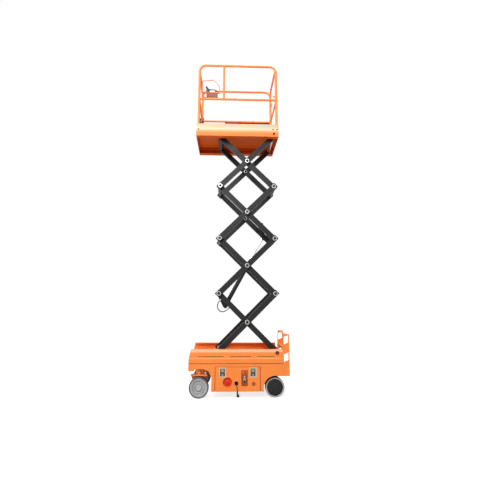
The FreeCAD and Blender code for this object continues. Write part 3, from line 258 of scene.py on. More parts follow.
class Finish:
    """A material under construction, with short calls for its nodes."""

    def __init__(self, name):
        self.material = bpy.data.materials.new(name)
        self.material.use_nodes = True
        self.tree = self.material.node_tree
        self.shader = self.tree.nodes["Principled BSDF"]
        self.place = self.node("ShaderNodeTexCoord").outputs["Object"]

    def node(self, kind, **settings):
        made = self.tree.nodes.new(kind)
        for name, value in settings.items():
            setattr(made, name, value)
        return made

    def link(self, source, target):
        self.tree.links.new(source, target)

    def noise(self, scale, detail=3, stretch=(1, 1, 1)):
        """A noise of so many patches a metre, drawn out along the axes whose stretch is under 1."""
        mapping = self.node("ShaderNodeMapping")
        mapping.inputs["Scale"].default_value = stretch
        texture = self.node("ShaderNodeTexNoise")
        texture.inputs["Scale"].default_value = scale
        texture.inputs["Detail"].default_value = detail
        self.link(self.place, mapping.inputs["Vector"])
        self.link(mapping.outputs["Vector"], texture.inputs["Vector"])
        return texture.outputs["Fac"]

    def ramp(self, factor, stops):
        """A ramp through (place, colour) stops."""
        ramp = self.node("ShaderNodeValToRGB")
        elements = ramp.color_ramp.elements
        while len(elements) < len(stops):
            elements.new(0.5)
        for element, (place, colour) in zip(elements, stops):
            element.position = place
            element.color = colour
        self.link(factor, ramp.inputs["Fac"])
        return ramp.outputs["Color"]

    def between(self, factor, low, high):
        """A number that follows a factor's middle range from low to high."""
        span = self.node("ShaderNodeMapRange")
        span.inputs["From Min"].default_value = 0.3
        span.inputs["From Max"].default_value = 0.7
        span.inputs["To Min"].default_value = low
        span.inputs["To Max"].default_value = high
        self.link(factor, span.inputs["Value"])
        return span.outputs["Result"]

    def bump(self, height, depth, rounding=0.0):
        """Bumps of so many metres, over edges that look rounded by a radius."""
        bump = self.node("ShaderNodeBump")
        bump.inputs["Strength"].default_value = 1
        bump.inputs["Distance"].default_value = depth
        self.link(height, bump.inputs["Height"])
        if rounding:
            edge = self.node("ShaderNodeBevel", samples=4)
            edge.inputs["Radius"].default_value = rounding
            self.link(edge.outputs["Normal"], bump.inputs["Normal"])
        self.link(bump.outputs["Normal"], self.shader.inputs["Normal"])

    def edges(self, radius):
        """One along edges sharper than a radius, broken up in patches, and nought on the flats."""
        soft = self.node("ShaderNodeBevel", samples=4)
        soft.inputs["Radius"].default_value = radius
        hard = self.node("ShaderNodeNewGeometry")
        likeness = self.node("ShaderNodeVectorMath", operation="DOT_PRODUCT")
        self.link(soft.outputs["Normal"], likeness.inputs[0])
        self.link(hard.outputs["Normal"], likeness.inputs[1])
        edge = self.node("ShaderNodeMapRange")
        edge.inputs["From Min"].default_value = 0.97
        edge.inputs["From Max"].default_value = 0.80
        self.link(likeness.outputs["Value"], edge.inputs["Value"])
        patches = self.node("ShaderNodeMath", operation="MULTIPLY")
        self.link(edge.outputs["Result"], patches.inputs[0])
        self.link(self.between(self.noise(34, 4), 0, 1), patches.inputs[1])
        return patches.outputs["Value"]

    def mix(self, factor, first, second):
        """The first colour where the factor is nought, and the second where it is one."""
        mix = self.node("ShaderNodeMix", data_type="RGBA")
        colours = [socket for socket in mix.inputs if socket.type == "RGBA"]
        for socket, colour in zip(colours, (first, second)):
            if isinstance(colour, list):
                socket.default_value = colour
            else:
                self.link(colour, socket)
        self.link(factor, mix.inputs["Factor"])
        return next(socket for socket in mix.outputs if socket.type == "RGBA")

    def height(self, low, high):
        """A number that runs from nought to one between two heights."""
        split = self.node("ShaderNodeSeparateXYZ")
        self.link(self.place, split.inputs["Vector"])
        span = self.node("ShaderNodeMapRange")
        span.inputs["From Min"].default_value = low
        span.inputs["From Max"].default_value = high
        self.link(split.outputs["Z"], span.inputs["Value"])
        return span.outputs["Result"]

    def near_side(self, reach):
        """One on the left side, further out than a distance from the middle plane, and nought elsewhere."""
        split = self.node("ShaderNodeSeparateXYZ")
        self.link(self.place, split.inputs["Vector"])
        past = self.node("ShaderNodeMath", operation="LESS_THAN")
        past.inputs[1].default_value = -reach
        self.link(split.outputs["Y"], past.inputs[0])
        return past.outputs["Value"]


def paint(name, colour, light, worn_and_highlit, roughness, peel=0.00012, rounding=0.0016, gloss=0.45, painted_light=None):
    """Sprayed paint: uneven colour, orange peel, and softened edges that are paler in patches, as wear and
    as a painted highlight.
    A painted light is the low and high end of a band on the left side with painted highlight and painted
    shade, and the colours over it, each with its place and its share."""
    finish = Finish(name)
    colour_now = finish.ramp(finish.noise(2.2, 5), [(0.35, colour), (0.7, light)])
    # Painted highlight and painted shade in bands over the left side.
    if painted_light:
        low, high, stops = painted_light
        tints = [(place, tint) for place, tint, part in stops]
        shares = [(place, [part] * 3 + [1]) for place, tint, part in stops]
        pale = finish.ramp(finish.height(low, high), tints)
        share = finish.ramp(finish.height(low, high), shares)
        outside = finish.node("ShaderNodeMath", operation="MULTIPLY")
        finish.link(share, outside.inputs[0])
        finish.link(finish.near_side(PAINTED_LIGHT_REACH), outside.inputs[1])
        colour_now = finish.mix(outside.outputs["Value"], colour_now, pale)
    # The edges' paler patches: wear, and a painted highlight.
    finish.link(finish.mix(finish.edges(EDGE_WEAR_AND_HIGHLIGHT), colour_now, worn_and_highlit), finish.shader.inputs["Base Color"])
    finish.link(finish.between(finish.noise(9, 4), roughness - 0.05, roughness + 0.07),
                finish.shader.inputs["Roughness"])
    finish.bump(finish.noise(260, 2), peel, rounding)
    finish.shader.inputs["Specular IOR Level"].default_value = gloss
    return finish.material


def steel(name, colour, roughness, stretch=(1, 1, 1), grain=0.00004, rounding=0.0008):
    """Bare metal with a drawn or turned grain."""
    finish = Finish(name)
    finish.shader.inputs["Metallic"].default_value = 1
    light = [min(1, 1.12 * value) for value in colour[:3]] + [1]
    grained = finish.noise(420, 3, stretch)
    finish.link(finish.ramp(finish.noise(14, 4), [(0.3, colour), (0.7, light)]),
                finish.shader.inputs["Base Color"])
    finish.link(finish.between(grained, roughness - 0.08, roughness + 0.1),
                finish.shader.inputs["Roughness"])
    finish.bump(grained, grain, rounding)
    return finish.material


def moulded(name, colour, light, roughness, texture=0.00008, rounding=0.0008):
    """Moulded plastic or rubber: fine grain and faint colour drift."""
    finish = Finish(name)
    finish.link(finish.ramp(finish.noise(24, 4), [(0.35, colour), (0.7, light)]),
                finish.shader.inputs["Base Color"])
    finish.link(finish.between(finish.noise(60, 3), roughness - 0.06, roughness + 0.08),
                finish.shader.inputs["Roughness"])
    finish.bump(finish.noise(900, 2), texture, rounding)
    finish.shader.inputs["Specular IOR Level"].default_value = 0.35
    return finish.material


# The oranges' paler edge tone, for wear and a painted highlight.
PALE_ORANGE = tone(252, 186, 124)
# Painted highlight: on the left side the platform's paint pales towards its top, a painted reflection of
# the light from above.
PLATFORM_PAINTED_HIGHLIGHT = (3.43, 3.575, ((0.0, tone(222, 142, 82), 0.6), (0.18, tone(222, 142, 82), 1.0),
                               (0.28, tone(214, 160, 112), 1.0), (0.39, tone(216, 182, 142), 1.0),
                               (0.48, tone(216, 198, 168), 1.0), (0.66, tone(210, 188, 158), 1.0),
                               (0.90, tone(202, 174, 146), 1.0)))
# Painted light on the chassis's left wall: painted shade along the seam under its band, a painted highlight
# on the ledge over it, a paler painted sheen above, and a painted highlight along the top edge.
SIDE_PAINTED_LIGHT = (0.385, 0.570, ((0.0, tone(170, 74, 30), 0.0), (0.055, tone(170, 74, 30), 0.0),
                            (0.070, tone(170, 74, 30), 0.8), (0.115, tone(170, 74, 30), 0.8),
                            (0.130, tone(170, 74, 30), 0.0), (0.395, tone(238, 186, 140), 0.0),
                            (0.402, tone(238, 186, 140), 1.0), (0.415, tone(238, 186, 140), 1.0),
                            (0.425, tone(236, 134, 60), 0.5), (0.785, tone(236, 134, 60), 0.5),
                            (0.825, tone(238, 178, 132), 1.0), (1.0, tone(240, 184, 138), 1.0)))
ORANGE = paint("orange_paint", tone(235, 124, 44), tone(241, 132, 50), PALE_ORANGE, 0.36)
SHEET_ORANGE = paint("orange_sheet", tone(235, 124, 44), tone(242, 133, 51), PALE_ORANGE, 0.38, peel=0.0002)
# The walls' paint, with the painted shade and painted highlight above on the left wall.
SIDE_ORANGE = paint("orange_walls", tone(235, 124, 44), tone(242, 133, 51), PALE_ORANGE, 0.38, peel=0.0002,
                    painted_light=SIDE_PAINTED_LIGHT)
# The deck's orange is deeper and redder than the other paint, as painted shade for its underside.
PLATFORM_ORANGE = paint("orange_platform", tone(236, 94, 18), tone(244, 104, 24), PALE_ORANGE, 0.48,
                        peel=0.0002, gloss=0.08, painted_light=PLATFORM_PAINTED_HIGHLIGHT)
# A darker orange that is painted shade: on the tray's floor, the walls' slots and door gaps, and round the
# chassis pivot pins.
SHADE_ORANGE = paint("orange_painted_shade", tone(138, 62, 24), tone(152, 72, 30), tone(180, 100, 54), 0.5)
# Black paint, whose pale edge tone is wear and a painted highlight.
BLACK = paint("black_paint", tone(26, 25, 25), tone(35, 34, 34), tone(150, 146, 142), 0.46,
              peel=0.0002, rounding=0.003, gloss=0.22)
DARK_STEEL = steel("dark_steel", tone(48, 46, 45), 0.4)
STEEL = steel("bright_steel", tone(178, 178, 176), 0.34)
CHROME = steel("chrome", tone(205, 206, 208), 0.12, grain=0.00001)
STAINLESS = steel("stainless", tone(176, 168, 150), 0.32, stretch=(1, 1, 0.06))
SATIN = steel("satin_steel", tone(124, 116, 98), 0.42)
# The tyre is one grey: this darker copy on its tread and shoulders is painted shade, the lighter copy its
# flat face.
TYRE_SHADED = moulded("grey_tyre", tone(84, 84, 84), tone(98, 98, 98), 0.66, texture=0.0002)
TYRE_LIGHT = moulded("grey_tyre_side", tone(164, 164, 164), tone(178, 178, 178), 0.6, texture=0.0002)
WHEEL = moulded("grey_wheel", tone(164, 164, 164), tone(178, 178, 178), 0.42)
# A darker grey for the hub's groove floors: painted shade.
GROOVE_SHADE = moulded("wheel_groove_shade", tone(140, 140, 140), tone(154, 154, 154), 0.6)
BLACK_WHEEL = moulded("black_wheel", tone(5, 5, 5), tone(9, 9, 9), 0.6)
BATTERY = moulded("battery_case", tone(58, 60, 62), tone(66, 68, 70), 0.55)
RED = moulded("red_plastic", tone(212, 26, 3), tone(220, 34, 6), 0.45)
DEEP_BROWN = moulded("deep_brown", tone(92, 32, 12), tone(104, 40, 16), 0.55)
DEEP_RED = moulded("deep_red", tone(220, 84, 34), tone(228, 92, 40), 0.45)
YELLOW = moulded("yellow_plastic", tone(242, 190, 30), tone(246, 200, 40), 0.36)
PLASTIC = moulded("black_plastic", tone(30, 30, 31), tone(38, 38, 39), 0.42)
RUBBER = moulded("black_rubber", tone(24, 24, 25), tone(32, 32, 33), 0.62)
GREY_PLASTIC = moulded("grey_plastic", tone(176, 178, 180), tone(188, 190, 192), 0.38)
PANEL_GREY = moulded("panel_film", tone(44, 45, 47), tone(52, 53, 55), 0.4)
OLIVE = moulded("olive_plastic", tone(96, 100, 40), tone(108, 112, 48), 0.42)
NYLON = moulded("nylon", tone(214, 210, 198), tone(224, 220, 208), 0.4)
BRASS = steel("brass", tone(196, 160, 84), 0.3)

NODE_FINISHES = {
    "arms_": BLACK, "pins_": STEEL, "rollers_": STEEL, "tyre_": TYRE_SHADED, "hub_front": WHEEL,
    "hub_rear": BLACK_WHEEL, "latches_": STAINLESS, "cylinder_barrel": BLACK, "cylinder_rod": CHROME,
    "tie_rod": STEEL, "batteries": BATTERY, "pump_and_tank": BLACK, "ground_controls": RED,
    "cable_gland": PLASTIC, "charging_lead": RUBBER, "lead_plug": RUBBER, "control_box": GREY_PLASTIC,
    "joystick": PLASTIC, "chassis_side": SIDE_ORANGE, "door_": SHEET_ORANGE,
    "platform_deck": PLATFORM_ORANGE, "chassis_deck": SHEET_ORANGE, "rear_panel": SHEET_ORANGE,
    "bay_frame": SHEET_ORANGE,
}


def dress_nodes():
    """Gives every solid of the frame its finish."""
    for name, node in NODES.items():
        material = next((NODE_FINISHES[start] for start in NODE_FINISHES if name.startswith(start)), ORANGE)
        node.data.materials.clear()
        node.data.materials.append(material)


# Shapes. Each call returns a new mesh under construction, which a piece then takes in.

AXES = {"x": Vector((1, 0, 0)), "y": Vector((0, 1, 0)), "z": Vector((0, 0, 1))}
AXIS_INDEX = {"x": 0, "y": 1, "z": 2}
# An edge counts as sharp from this turn between its faces on, in radians.
SHARP_TURN = 0.6


def rounded(shape, edges, radius, segments=2):
    """Rounds these edges of a shape."""
    bmesh.ops.bevel(shape, geom=edges, offset=radius, segments=segments, profile=0.5, affect="EDGES",
                    material=-1)
    return shape


def block(low, high, rounding=0.001, segments=2):
    """A box between two corners, with rounded edges."""
    low = Vector(low)
    high = Vector(high)
    shape = bmesh.new()
    bmesh.ops.create_cube(shape, size=1)
    bmesh.ops.scale(shape, vec=high - low, verts=shape.verts)
    bmesh.ops.translate(shape, vec=(low + high) / 2, verts=shape.verts)
    if rounding:
        rounded(shape, shape.edges[:], rounding, segments)
    return shape


def extruded(outline, low, high, rounding=0.001, segments=2):
    """A prism over an (x, z) outline between two y planes, with rounded edges."""
    shape = bmesh.new()
    face = shape.faces.new([shape.verts.new((x, low, z)) for x, z in outline])
    grown = bmesh.ops.extrude_face_region(shape, geom=[face])
    moved = [item for item in grown["geom"] if isinstance(item, bmesh.types.BMVert)]
    bmesh.ops.translate(shape, vec=(0, high - low, 0), verts=moved)
    bmesh.ops.recalc_face_normals(shape, faces=shape.faces)
    return rounded(shape, shape.edges[:], rounding, segments)


def pressed(low, high, sign, border, depth, rounding=0.0006):
    """A plate whose outer face, on the side of the sign along y, has a pan pressed into it."""
    shape = block(low, high, 0)
    outer = max(shape.faces, key=lambda face: sign * face.calc_center_median().y)
    bmesh.ops.inset_region(shape, faces=[outer], thickness=border, use_even_offset=True)
    bmesh.ops.translate(shape, vec=(0, -sign * depth, 0), verts=outer.verts[:])
    return rounded(shape, shape.edges[:], rounding)


def across(sign, near, far):
    """The low and high end, along y, of a span between two distances from the middle."""
    return sorted((sign * near, sign * far))


def softened(shape, radius):
    """Rounds the edges of a shape that turn by more than about 35 degrees."""
    return rounded(shape, [edge for edge in shape.edges if edge.calc_face_angle(0) > SHARP_TURN], radius)


def turned(profile, axis="y", at=(0, 0, 0), steps=64):
    """A round shape from (radius, along) points, turned about an axis through a point."""
    shape = bmesh.new()
    along = AXES[axis]
    out = AXES["z"] if axis != "z" else AXES["x"]
    points = [shape.verts.new(Vector(at) + along * place + out * radius) for radius, place in profile]
    edges = [shape.edges.new(pair) for pair in zip(points, points[1:])]
    bmesh.ops.spin(shape, geom=points + edges, cent=at, axis=along, angle=2 * math.pi, steps=steps,
                   use_merge=True)
    bmesh.ops.remove_doubles(shape, verts=shape.verts, dist=1e-6)
    bmesh.ops.recalc_face_normals(shape, faces=shape.faces)
    return shape


def disc(radius, low, high, axis="y", at=(0, 0, 0), rounding=0.001, steps=48):
    """A short cylinder with rounded rims, from low to high along its axis."""
    soft = min(rounding, (high - low) / 3, radius / 3)
    return turned([(0, low), (radius - soft, low), (radius - 0.3 * soft, low + 0.3 * soft),
                   (radius, low + soft), (radius, high - soft), (radius - 0.3 * soft, high - 0.3 * soft),
                   (radius - soft, high), (0, high)], axis, at, steps)


def ring(inner, outer, low, high, axis="y", at=(0, 0, 0), rounding=0.001, steps=48):
    """A ring with rounded rims."""
    soft = min(rounding, (high - low) / 3, (outer - inner) / 3)
    loop = [(inner + soft, low), (outer - soft, low), (outer, low + soft), (outer, high - soft),
            (outer - soft, high), (inner + soft, high), (inner, high - soft), (inner, low + soft)]
    return turned(loop + loop[:1], axis, at, steps)


def hexagon(radius, low, high, axis="y", at=(0, 0, 0), rounding=0.0008):
    """A bolt's head or a nut, from low to high along its axis."""
    shape = bmesh.new()
    bmesh.ops.create_cone(shape, cap_ends=True, segments=6, radius1=radius, radius2=radius,
                          depth=high - low)
    rounded(shape, shape.edges[:], rounding)
    turn = {"x": Matrix.Rotation(math.pi / 2, 4, "Y"), "y": Matrix.Rotation(-math.pi / 2, 4, "X"),
            "z": Matrix.Identity(4)}[axis]
    shift = Matrix.Translation(Vector(at) + AXES[axis] * (low + high) / 2)
    bmesh.ops.transform(shape, matrix=shift @ turn, verts=shape.verts)
    return shape


class Piece:
    """A piece of the machine, made of shapes that each have their own finish."""

    def __init__(self, name):
        self.name = name
        self.mesh = bmesh.new()
        self.materials = []

    def add(self, shape, material, at=None):
        """Takes in a shape, moved by a matrix where one is given."""
        if material not in self.materials:
            self.materials.append(material)
        if at is not None:
            bmesh.ops.transform(shape, matrix=at, verts=shape.verts)
        for face in shape.faces:
            face.material_index = self.materials.index(material)
            face.smooth = True
        part = bpy.data.meshes.new("part")
        shape.to_mesh(part)
        shape.free()
        self.mesh.from_mesh(part)
        bpy.data.meshes.remove(part)
        return self

    def tint(self, material, chosen):
        """Gives another finish to the faces whose middles a test picks out."""
        if material not in self.materials:
            self.materials.append(material)
        for face in self.mesh.faces:
            if chosen(face.calc_center_median()):
                face.material_index = self.materials.index(material)

    def finish(self, body, slot, *replaced):
        """Makes the object, which rides on a body and may stand for solids."""
        data = bpy.data.meshes.new(self.name)
        self.mesh.to_mesh(data)
        self.mesh.free()
        for material in self.materials:
            data.materials.append(material)
        data.set_sharp_from_angle(angle=math.radians(32))
        made = bpy.data.objects.new(self.name, data)
        bpy.context.scene.collection.objects.link(made)
        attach(made, body)
        if replaced:
            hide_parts(*replaced)
        return made


def weld(piece, at, axis, radius):
    """A fillet weld round a tube's end."""
    piece.add(ring(radius - 0.0012, radius + 0.0028, -0.0026, 0.0026, axis, at, 0.0016, 32), ORANGE)


def bolt(piece, at, axis, sign, radius, height, material=STEEL):
    """A hexagon head on a washer, standing on a face whose outward side has this sign."""
    level = Vector(at)[AXIS_INDEX[axis]]
    foot = Vector(at) - AXES[axis] * level
    washer = sorted((level - sign * 0.0005, level + sign * 0.0016))
    head = sorted((level + sign * 0.0012, level + sign * height))
    piece.add(disc(1.45 * radius, *washer, axis, foot, 0.0006, 28), material)
    piece.add(hexagon(radius, *head, axis, foot), material)


# The charging lead and its outlet.

def smooth_line(name, points, radius, material):
    """A round cord or hose on one smooth spline."""
    data = bpy.data.curves.new(name, "CURVE")
    data.dimensions = "3D"
    data.bevel_depth = radius
    data.bevel_resolution = 6
    data.use_fill_caps = True
    data.resolution_u = 24
    spline = data.splines.new("NURBS")
    spline.points.add(len(points) - 1)
    for knot, point in zip(spline.points, points):
        knot.co = (*point, 1)
    spline.order_u = 3
    spline.use_endpoint_u = True
    data.materials.append(material)
    line = bpy.data.objects.new(name, data)
    bpy.context.scene.collection.objects.link(line)
    return line


def lead_plug():
    """The plug: ribbed grip, right-angled head, two flat pins."""
    low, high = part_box("lead_plug")
    end = LEAD_START + Vector(LEAD_POINTS[-1])
    piece = Piece("plug")
    piece.add(turned(PLUG_GRIP, "z", end, 32), RUBBER)
    for index in range(4):
        drop = 0.005 * index
        piece.add(ring(0.006, 0.0088 + 0.0003 * index, -0.008 - drop, -0.0055 - drop, "z", end, 0.0006, 32),
                  RUBBER)
    piece.add(block((end.x - 0.010, end.y - 0.0135, low.z), (end.x + 0.022, end.y + 0.0135, end.z - 0.037),
                    0.005, 4), RUBBER)
    for side in (-1, 1):
        y = end.y + side * PLUG_PIN_Y
        piece.add(block((end.x + 0.021, y - 0.003, end.z - 0.059), (high.x, y + 0.003, end.z - 0.0565),
                        0.0006), STEEL)
    return piece.finish("door_left", "black_rubber", "lead_plug")


def cable_gland():
    """The outlet's cup with its rim, and the ribbed, tapered relief round the lead."""
    low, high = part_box("cable_gland")
    at = (LEAD_START.x, 0, LEAD_START.z)
    mouth = low.y
    floor = LEAD_START.y + 0.020
    flange = GROUND_FACE + 0.008
    cup = [(0, floor), (0.021, floor), (0.021, mouth + 0.003), (0.022, mouth + 0.001), (0.0232, mouth),
           (0.0245, mouth + 0.001), (0.025, mouth + 0.003), (0.025, flange), (0.0295, flange),
           (0.030, flange + 0.001), (0.030, flange + 0.005), (0.0255, flange + 0.006), (0.025, high.y),
           (0, high.y)]
    relief = [(0, floor - 0.0005), (0.009, floor - 0.0005), (0.009, floor - 0.003)]
    for index in range(4):
        start = floor - 0.004 - 0.004 * index
        radius = 0.0078 - 0.0006 * index
        relief += [(radius - 0.0009, start), (radius, start - 0.0006), (radius, start - 0.0026),
                   (radius - 0.0009, start - 0.0032)]
    relief += [(0.005, LEAD_START.y + 0.0004), (0.0042, LEAD_START.y), (0, LEAD_START.y)]
    piece = Piece("cable_outlet")
    piece.add(turned(cup, "y", at), PLASTIC)
    piece.add(turned(relief, "y", at, 40), RUBBER)
    return piece.finish("door_left", "black_plastic", "cable_gland")


def charging_lead():
    lead = smooth_line("lead", [LEAD_START + Vector(point) for point in LEAD_POINTS], LEAD_RADIUS, RUBBER)
    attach(lead, "door_left")
    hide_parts("charging_lead")
    lead_plug()


# The stage.

def stage():
    """A wide pale floor that shows white to the camera, and keeps the machine's shadow."""
    shape = bmesh.new()
    bmesh.ops.create_grid(shape, x_segments=1, y_segments=1, size=FLOOR_REACH)
    data = bpy.data.meshes.new("floor")
    shape.to_mesh(data)
    shape.free()
    floor = bpy.data.objects.new("floor", data)
    bpy.context.scene.collection.objects.link(floor)
    material = bpy.data.materials.new("pale_floor")
    material.use_nodes = True
    tree = material.node_tree
    shader = tree.nodes["Principled BSDF"]
    shader.inputs["Roughness"].default_value = 0.9
    shader.inputs["Base Color"].default_value = (FLOOR_TONE, FLOOR_TONE, FLOOR_TONE, 1)
    shader.inputs["Specular IOR Level"].default_value = 0
    glow = tree.nodes.new("ShaderNodeEmission")
    glow.inputs["Strength"].default_value = FLOOR_GLOW
    both = tree.nodes.new("ShaderNodeAddShader")
    mix = tree.nodes.new("ShaderNodeMixShader")
    tree.links.new(shader.outputs["BSDF"], both.inputs[0])
    tree.links.new(glow.outputs["Emission"], both.inputs[1])
    tree.links.new(seen_directly(tree), mix.inputs["Fac"])
    tree.links.new(shader.outputs["BSDF"], mix.inputs[1])
    tree.links.new(both.outputs["Shader"], mix.inputs[2])
    tree.links.new(mix.outputs["Shader"], tree.nodes["Material Output"].inputs["Surface"])
    data.materials.append(material)


def seen_directly(tree):
    """One for what the camera sees straight, in a mirror or through glass, and nought otherwise."""
    path = tree.nodes.new("ShaderNodeLightPath")
    total = path.outputs["Is Camera Ray"]
    for name in ("Is Glossy Ray", "Is Transmission Ray"):
        sum_node = tree.nodes.new("ShaderNodeMath")
        sum_node.operation = "MAXIMUM"
        tree.links.new(total, sum_node.inputs[0])
        tree.links.new(path.outputs[name], sum_node.inputs[1])
        total = sum_node.outputs[0]
    return total


def world():
    """White to the camera, and a soft grey sky for the light."""
    setting = bpy.data.worlds.new("studio")
    bpy.context.scene.world = setting
    setting.use_nodes = True
    tree = setting.node_tree
    white = tree.nodes["Background"]
    white.inputs["Color"].default_value = (1, 1, 1, 1)
    white.inputs["Strength"].default_value = 1
    light = tree.nodes.new("ShaderNodeBackground")
    light.inputs["Color"].default_value = (1, 1, 1, 1)
    light.inputs["Strength"].default_value = SKY_LIGHT
    mix = tree.nodes.new("ShaderNodeMixShader")
    tree.links.new(seen_directly(tree), mix.inputs["Fac"])
    tree.links.new(light.outputs["Background"], mix.inputs[1])
    tree.links.new(white.outputs["Background"], mix.inputs[2])
    tree.links.new(mix.outputs["Shader"], tree.nodes["World Output"].inputs["Surface"])


def lamps():
    for name, place, target, (width, height), power in LAMPS:
        data = bpy.data.lights.new(name, "AREA")
        data.shape = "RECTANGLE"
        data.size = width
        data.size_y = height
        data.energy = power
        lamp = bpy.data.objects.new(name, data)
        bpy.context.scene.collection.objects.link(lamp)
        lamp.location = place
        lamp.rotation_euler = (Vector(target) - Vector(place)).to_track_quat("-Z", "Y").to_euler()


# Wheels and steering.

# The outer face of each hub: share of the rim's radius, and depth under the wheel's outer face.
FRONT_FACE = ((0, 4), (0.12, 4), (0.13, 5), (0.22, 5), (0.23, 4), (0.35, 4), (0.35, 16), (0.57, 16),
              (0.59, 12), (0.67, 12), (0.69, 16), (0.86, 16), (0.89, 6), (1, 6))
REAR_FACE = ((0, 4), (0.31, 4), (0.37, 9), (0.91, 9), (1, 14))
HUBS = {"front": (FRONT_FACE, WHEEL, "grey_wheel"), "rear": (REAR_FACE, BLACK_WHEEL, "black_wheel")}
SHOULDER = 0.009
SHOULDER_TURN = [step * math.pi / 14 for step in range(8)]


def wheel(end, side, sign):
    """A solid tyre with round shoulders and moulded lines, and the hub that fills it."""
    name = "%s_%s" % (end, side)
    low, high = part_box("tyre_" + name)
    at = (low + high) / 2
    radius = (high.z - low.z) / 2
    half = (high.y - low.y) / 2
    rim = (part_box("hub_" + name)[1].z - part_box("hub_" + name)[0].z) / 2
    edge = radius - SHOULDER
    middle = (rim + edge) / 2

    def side_on(points):
        return [(point[0], sign * point[1]) for point in points]

    loop = [(rim, -half), (edge, -half)]
    loop += [(edge + SHOULDER * math.sin(turn), SHOULDER - half - SHOULDER * math.cos(turn))
             for turn in SHOULDER_TURN[1:]]
    loop += [(edge + SHOULDER * math.cos(turn), half - SHOULDER + SHOULDER * math.sin(turn))
             for turn in SHOULDER_TURN]
    loop += [(middle + 0.0018, half), (middle + 0.0008, half - 0.0009), (middle - 0.0008, half - 0.0009),
             (middle - 0.0018, half), (rim + 0.0012, half), (rim, half - 0.0012)]
    tyre = Piece("tyre_%s_rubber" % name)
    tyre.add(turned(side_on(loop + loop[:1]), "y", at, 96), TYRE_SHADED)
    # The flat face takes the lighter grey out to this reach; the darker rest, on the front wheels also the
    # face's outer ring, is painted shade.
    light = middle if end == "front" else edge + 0.004
    tyre.tint(TYRE_LIGHT, lambda place: sign * (place.y - at.y) > half - 0.0022
              and math.hypot(place.x - at.x, place.z - at.z) < light)
    tyre.finish("wheel_" + name, "grey_tyre", "tyre_" + name)

    face, material, slot = HUBS[end]
    profile = [(share * rim, half - depth / 1000) for share, depth in face]
    profile += [(rim, 0.003 - half), (0.0155, 0.003 - half), (0.0155, half - 0.011), (0, half - 0.011)]
    hub = Piece("hub_%s_disc" % name)
    hub.add(softened(turned(side_on(profile), "y", at, 96), 0.0012), material)

    def bolts(count, share, size, deep, out, finish):
        for index in range(count):
            turn = index * 2 * math.pi / count + 0.5
            spot = at + Vector((share * rim * math.cos(turn), 0, share * rim * math.sin(turn)))
            hub.add(hexagon(size, *across(sign, half - deep, half - out), "y", spot), finish)

    if end == "front":
        # Painted shade: the grooves' floors are rings of a darker grey.
        for inner, outer in ((0.352, 0.568), (0.692, 0.858)):
            hub.add(ring(inner * rim, outer * rim, *across(sign, half - 0.0165, half - 0.0155), "y", at,
                         0.0003, 96), GROOVE_SHADE)
        bolts(3, 0.27, 0.0028, 0.0045, 0.0030, STEEL)
        hub.add(disc(0.006, *across(sign, half - 0.0045, half - 0.0025), "y", at), STEEL)
    else:
        bolts(5, 0.64, 0.0075, 0.0095, 0.0050, BLACK_WHEEL)
        bolts(8, 0.955, 0.0032, 0.0130, 0.0095, STEEL)
    hub.finish("wheel_" + name, slot, "hub_" + name)


def steering(side, sign):
    """The nuts and bolts of a knuckle: kingpin, ball pin, and the cheek's fixing bolts."""
    kingpin = (FRONT_AXLE, sign * KINGPIN_Y, 0)
    ball = (FRONT_AXLE + BALL_PIN, sign * KINGPIN_Y, 0)
    piece = Piece("knuckle_%s_fasteners" % side)
    piece.add(hexagon(0.0095, *BALL_NUT, "z", ball), STEEL)
    piece.add(disc(0.0045, *BALL_END, "z", ball), STEEL)
    piece.add(hexagon(0.015, *KINGPIN_NUT, "z", kingpin), STEEL)
    piece.add(ring(0.0262, 0.030, *KINGPIN_COLLAR, "z", kingpin, 0.0015), ORANGE)
    for along in CHEEK_BOLTS:
        at = (FRONT_AXLE + along, sign * (KINGPIN_Y + 0.020), 0)
        piece.add(disc(0.008, *CHEEK_WASHER, "z", at, 0.0008, 28), STEEL)
        piece.add(hexagon(0.0058, *CHEEK_HEAD, "z", at), STEEL)
    piece.finish("knuckle_" + side, "bright_steel")


# Doors.

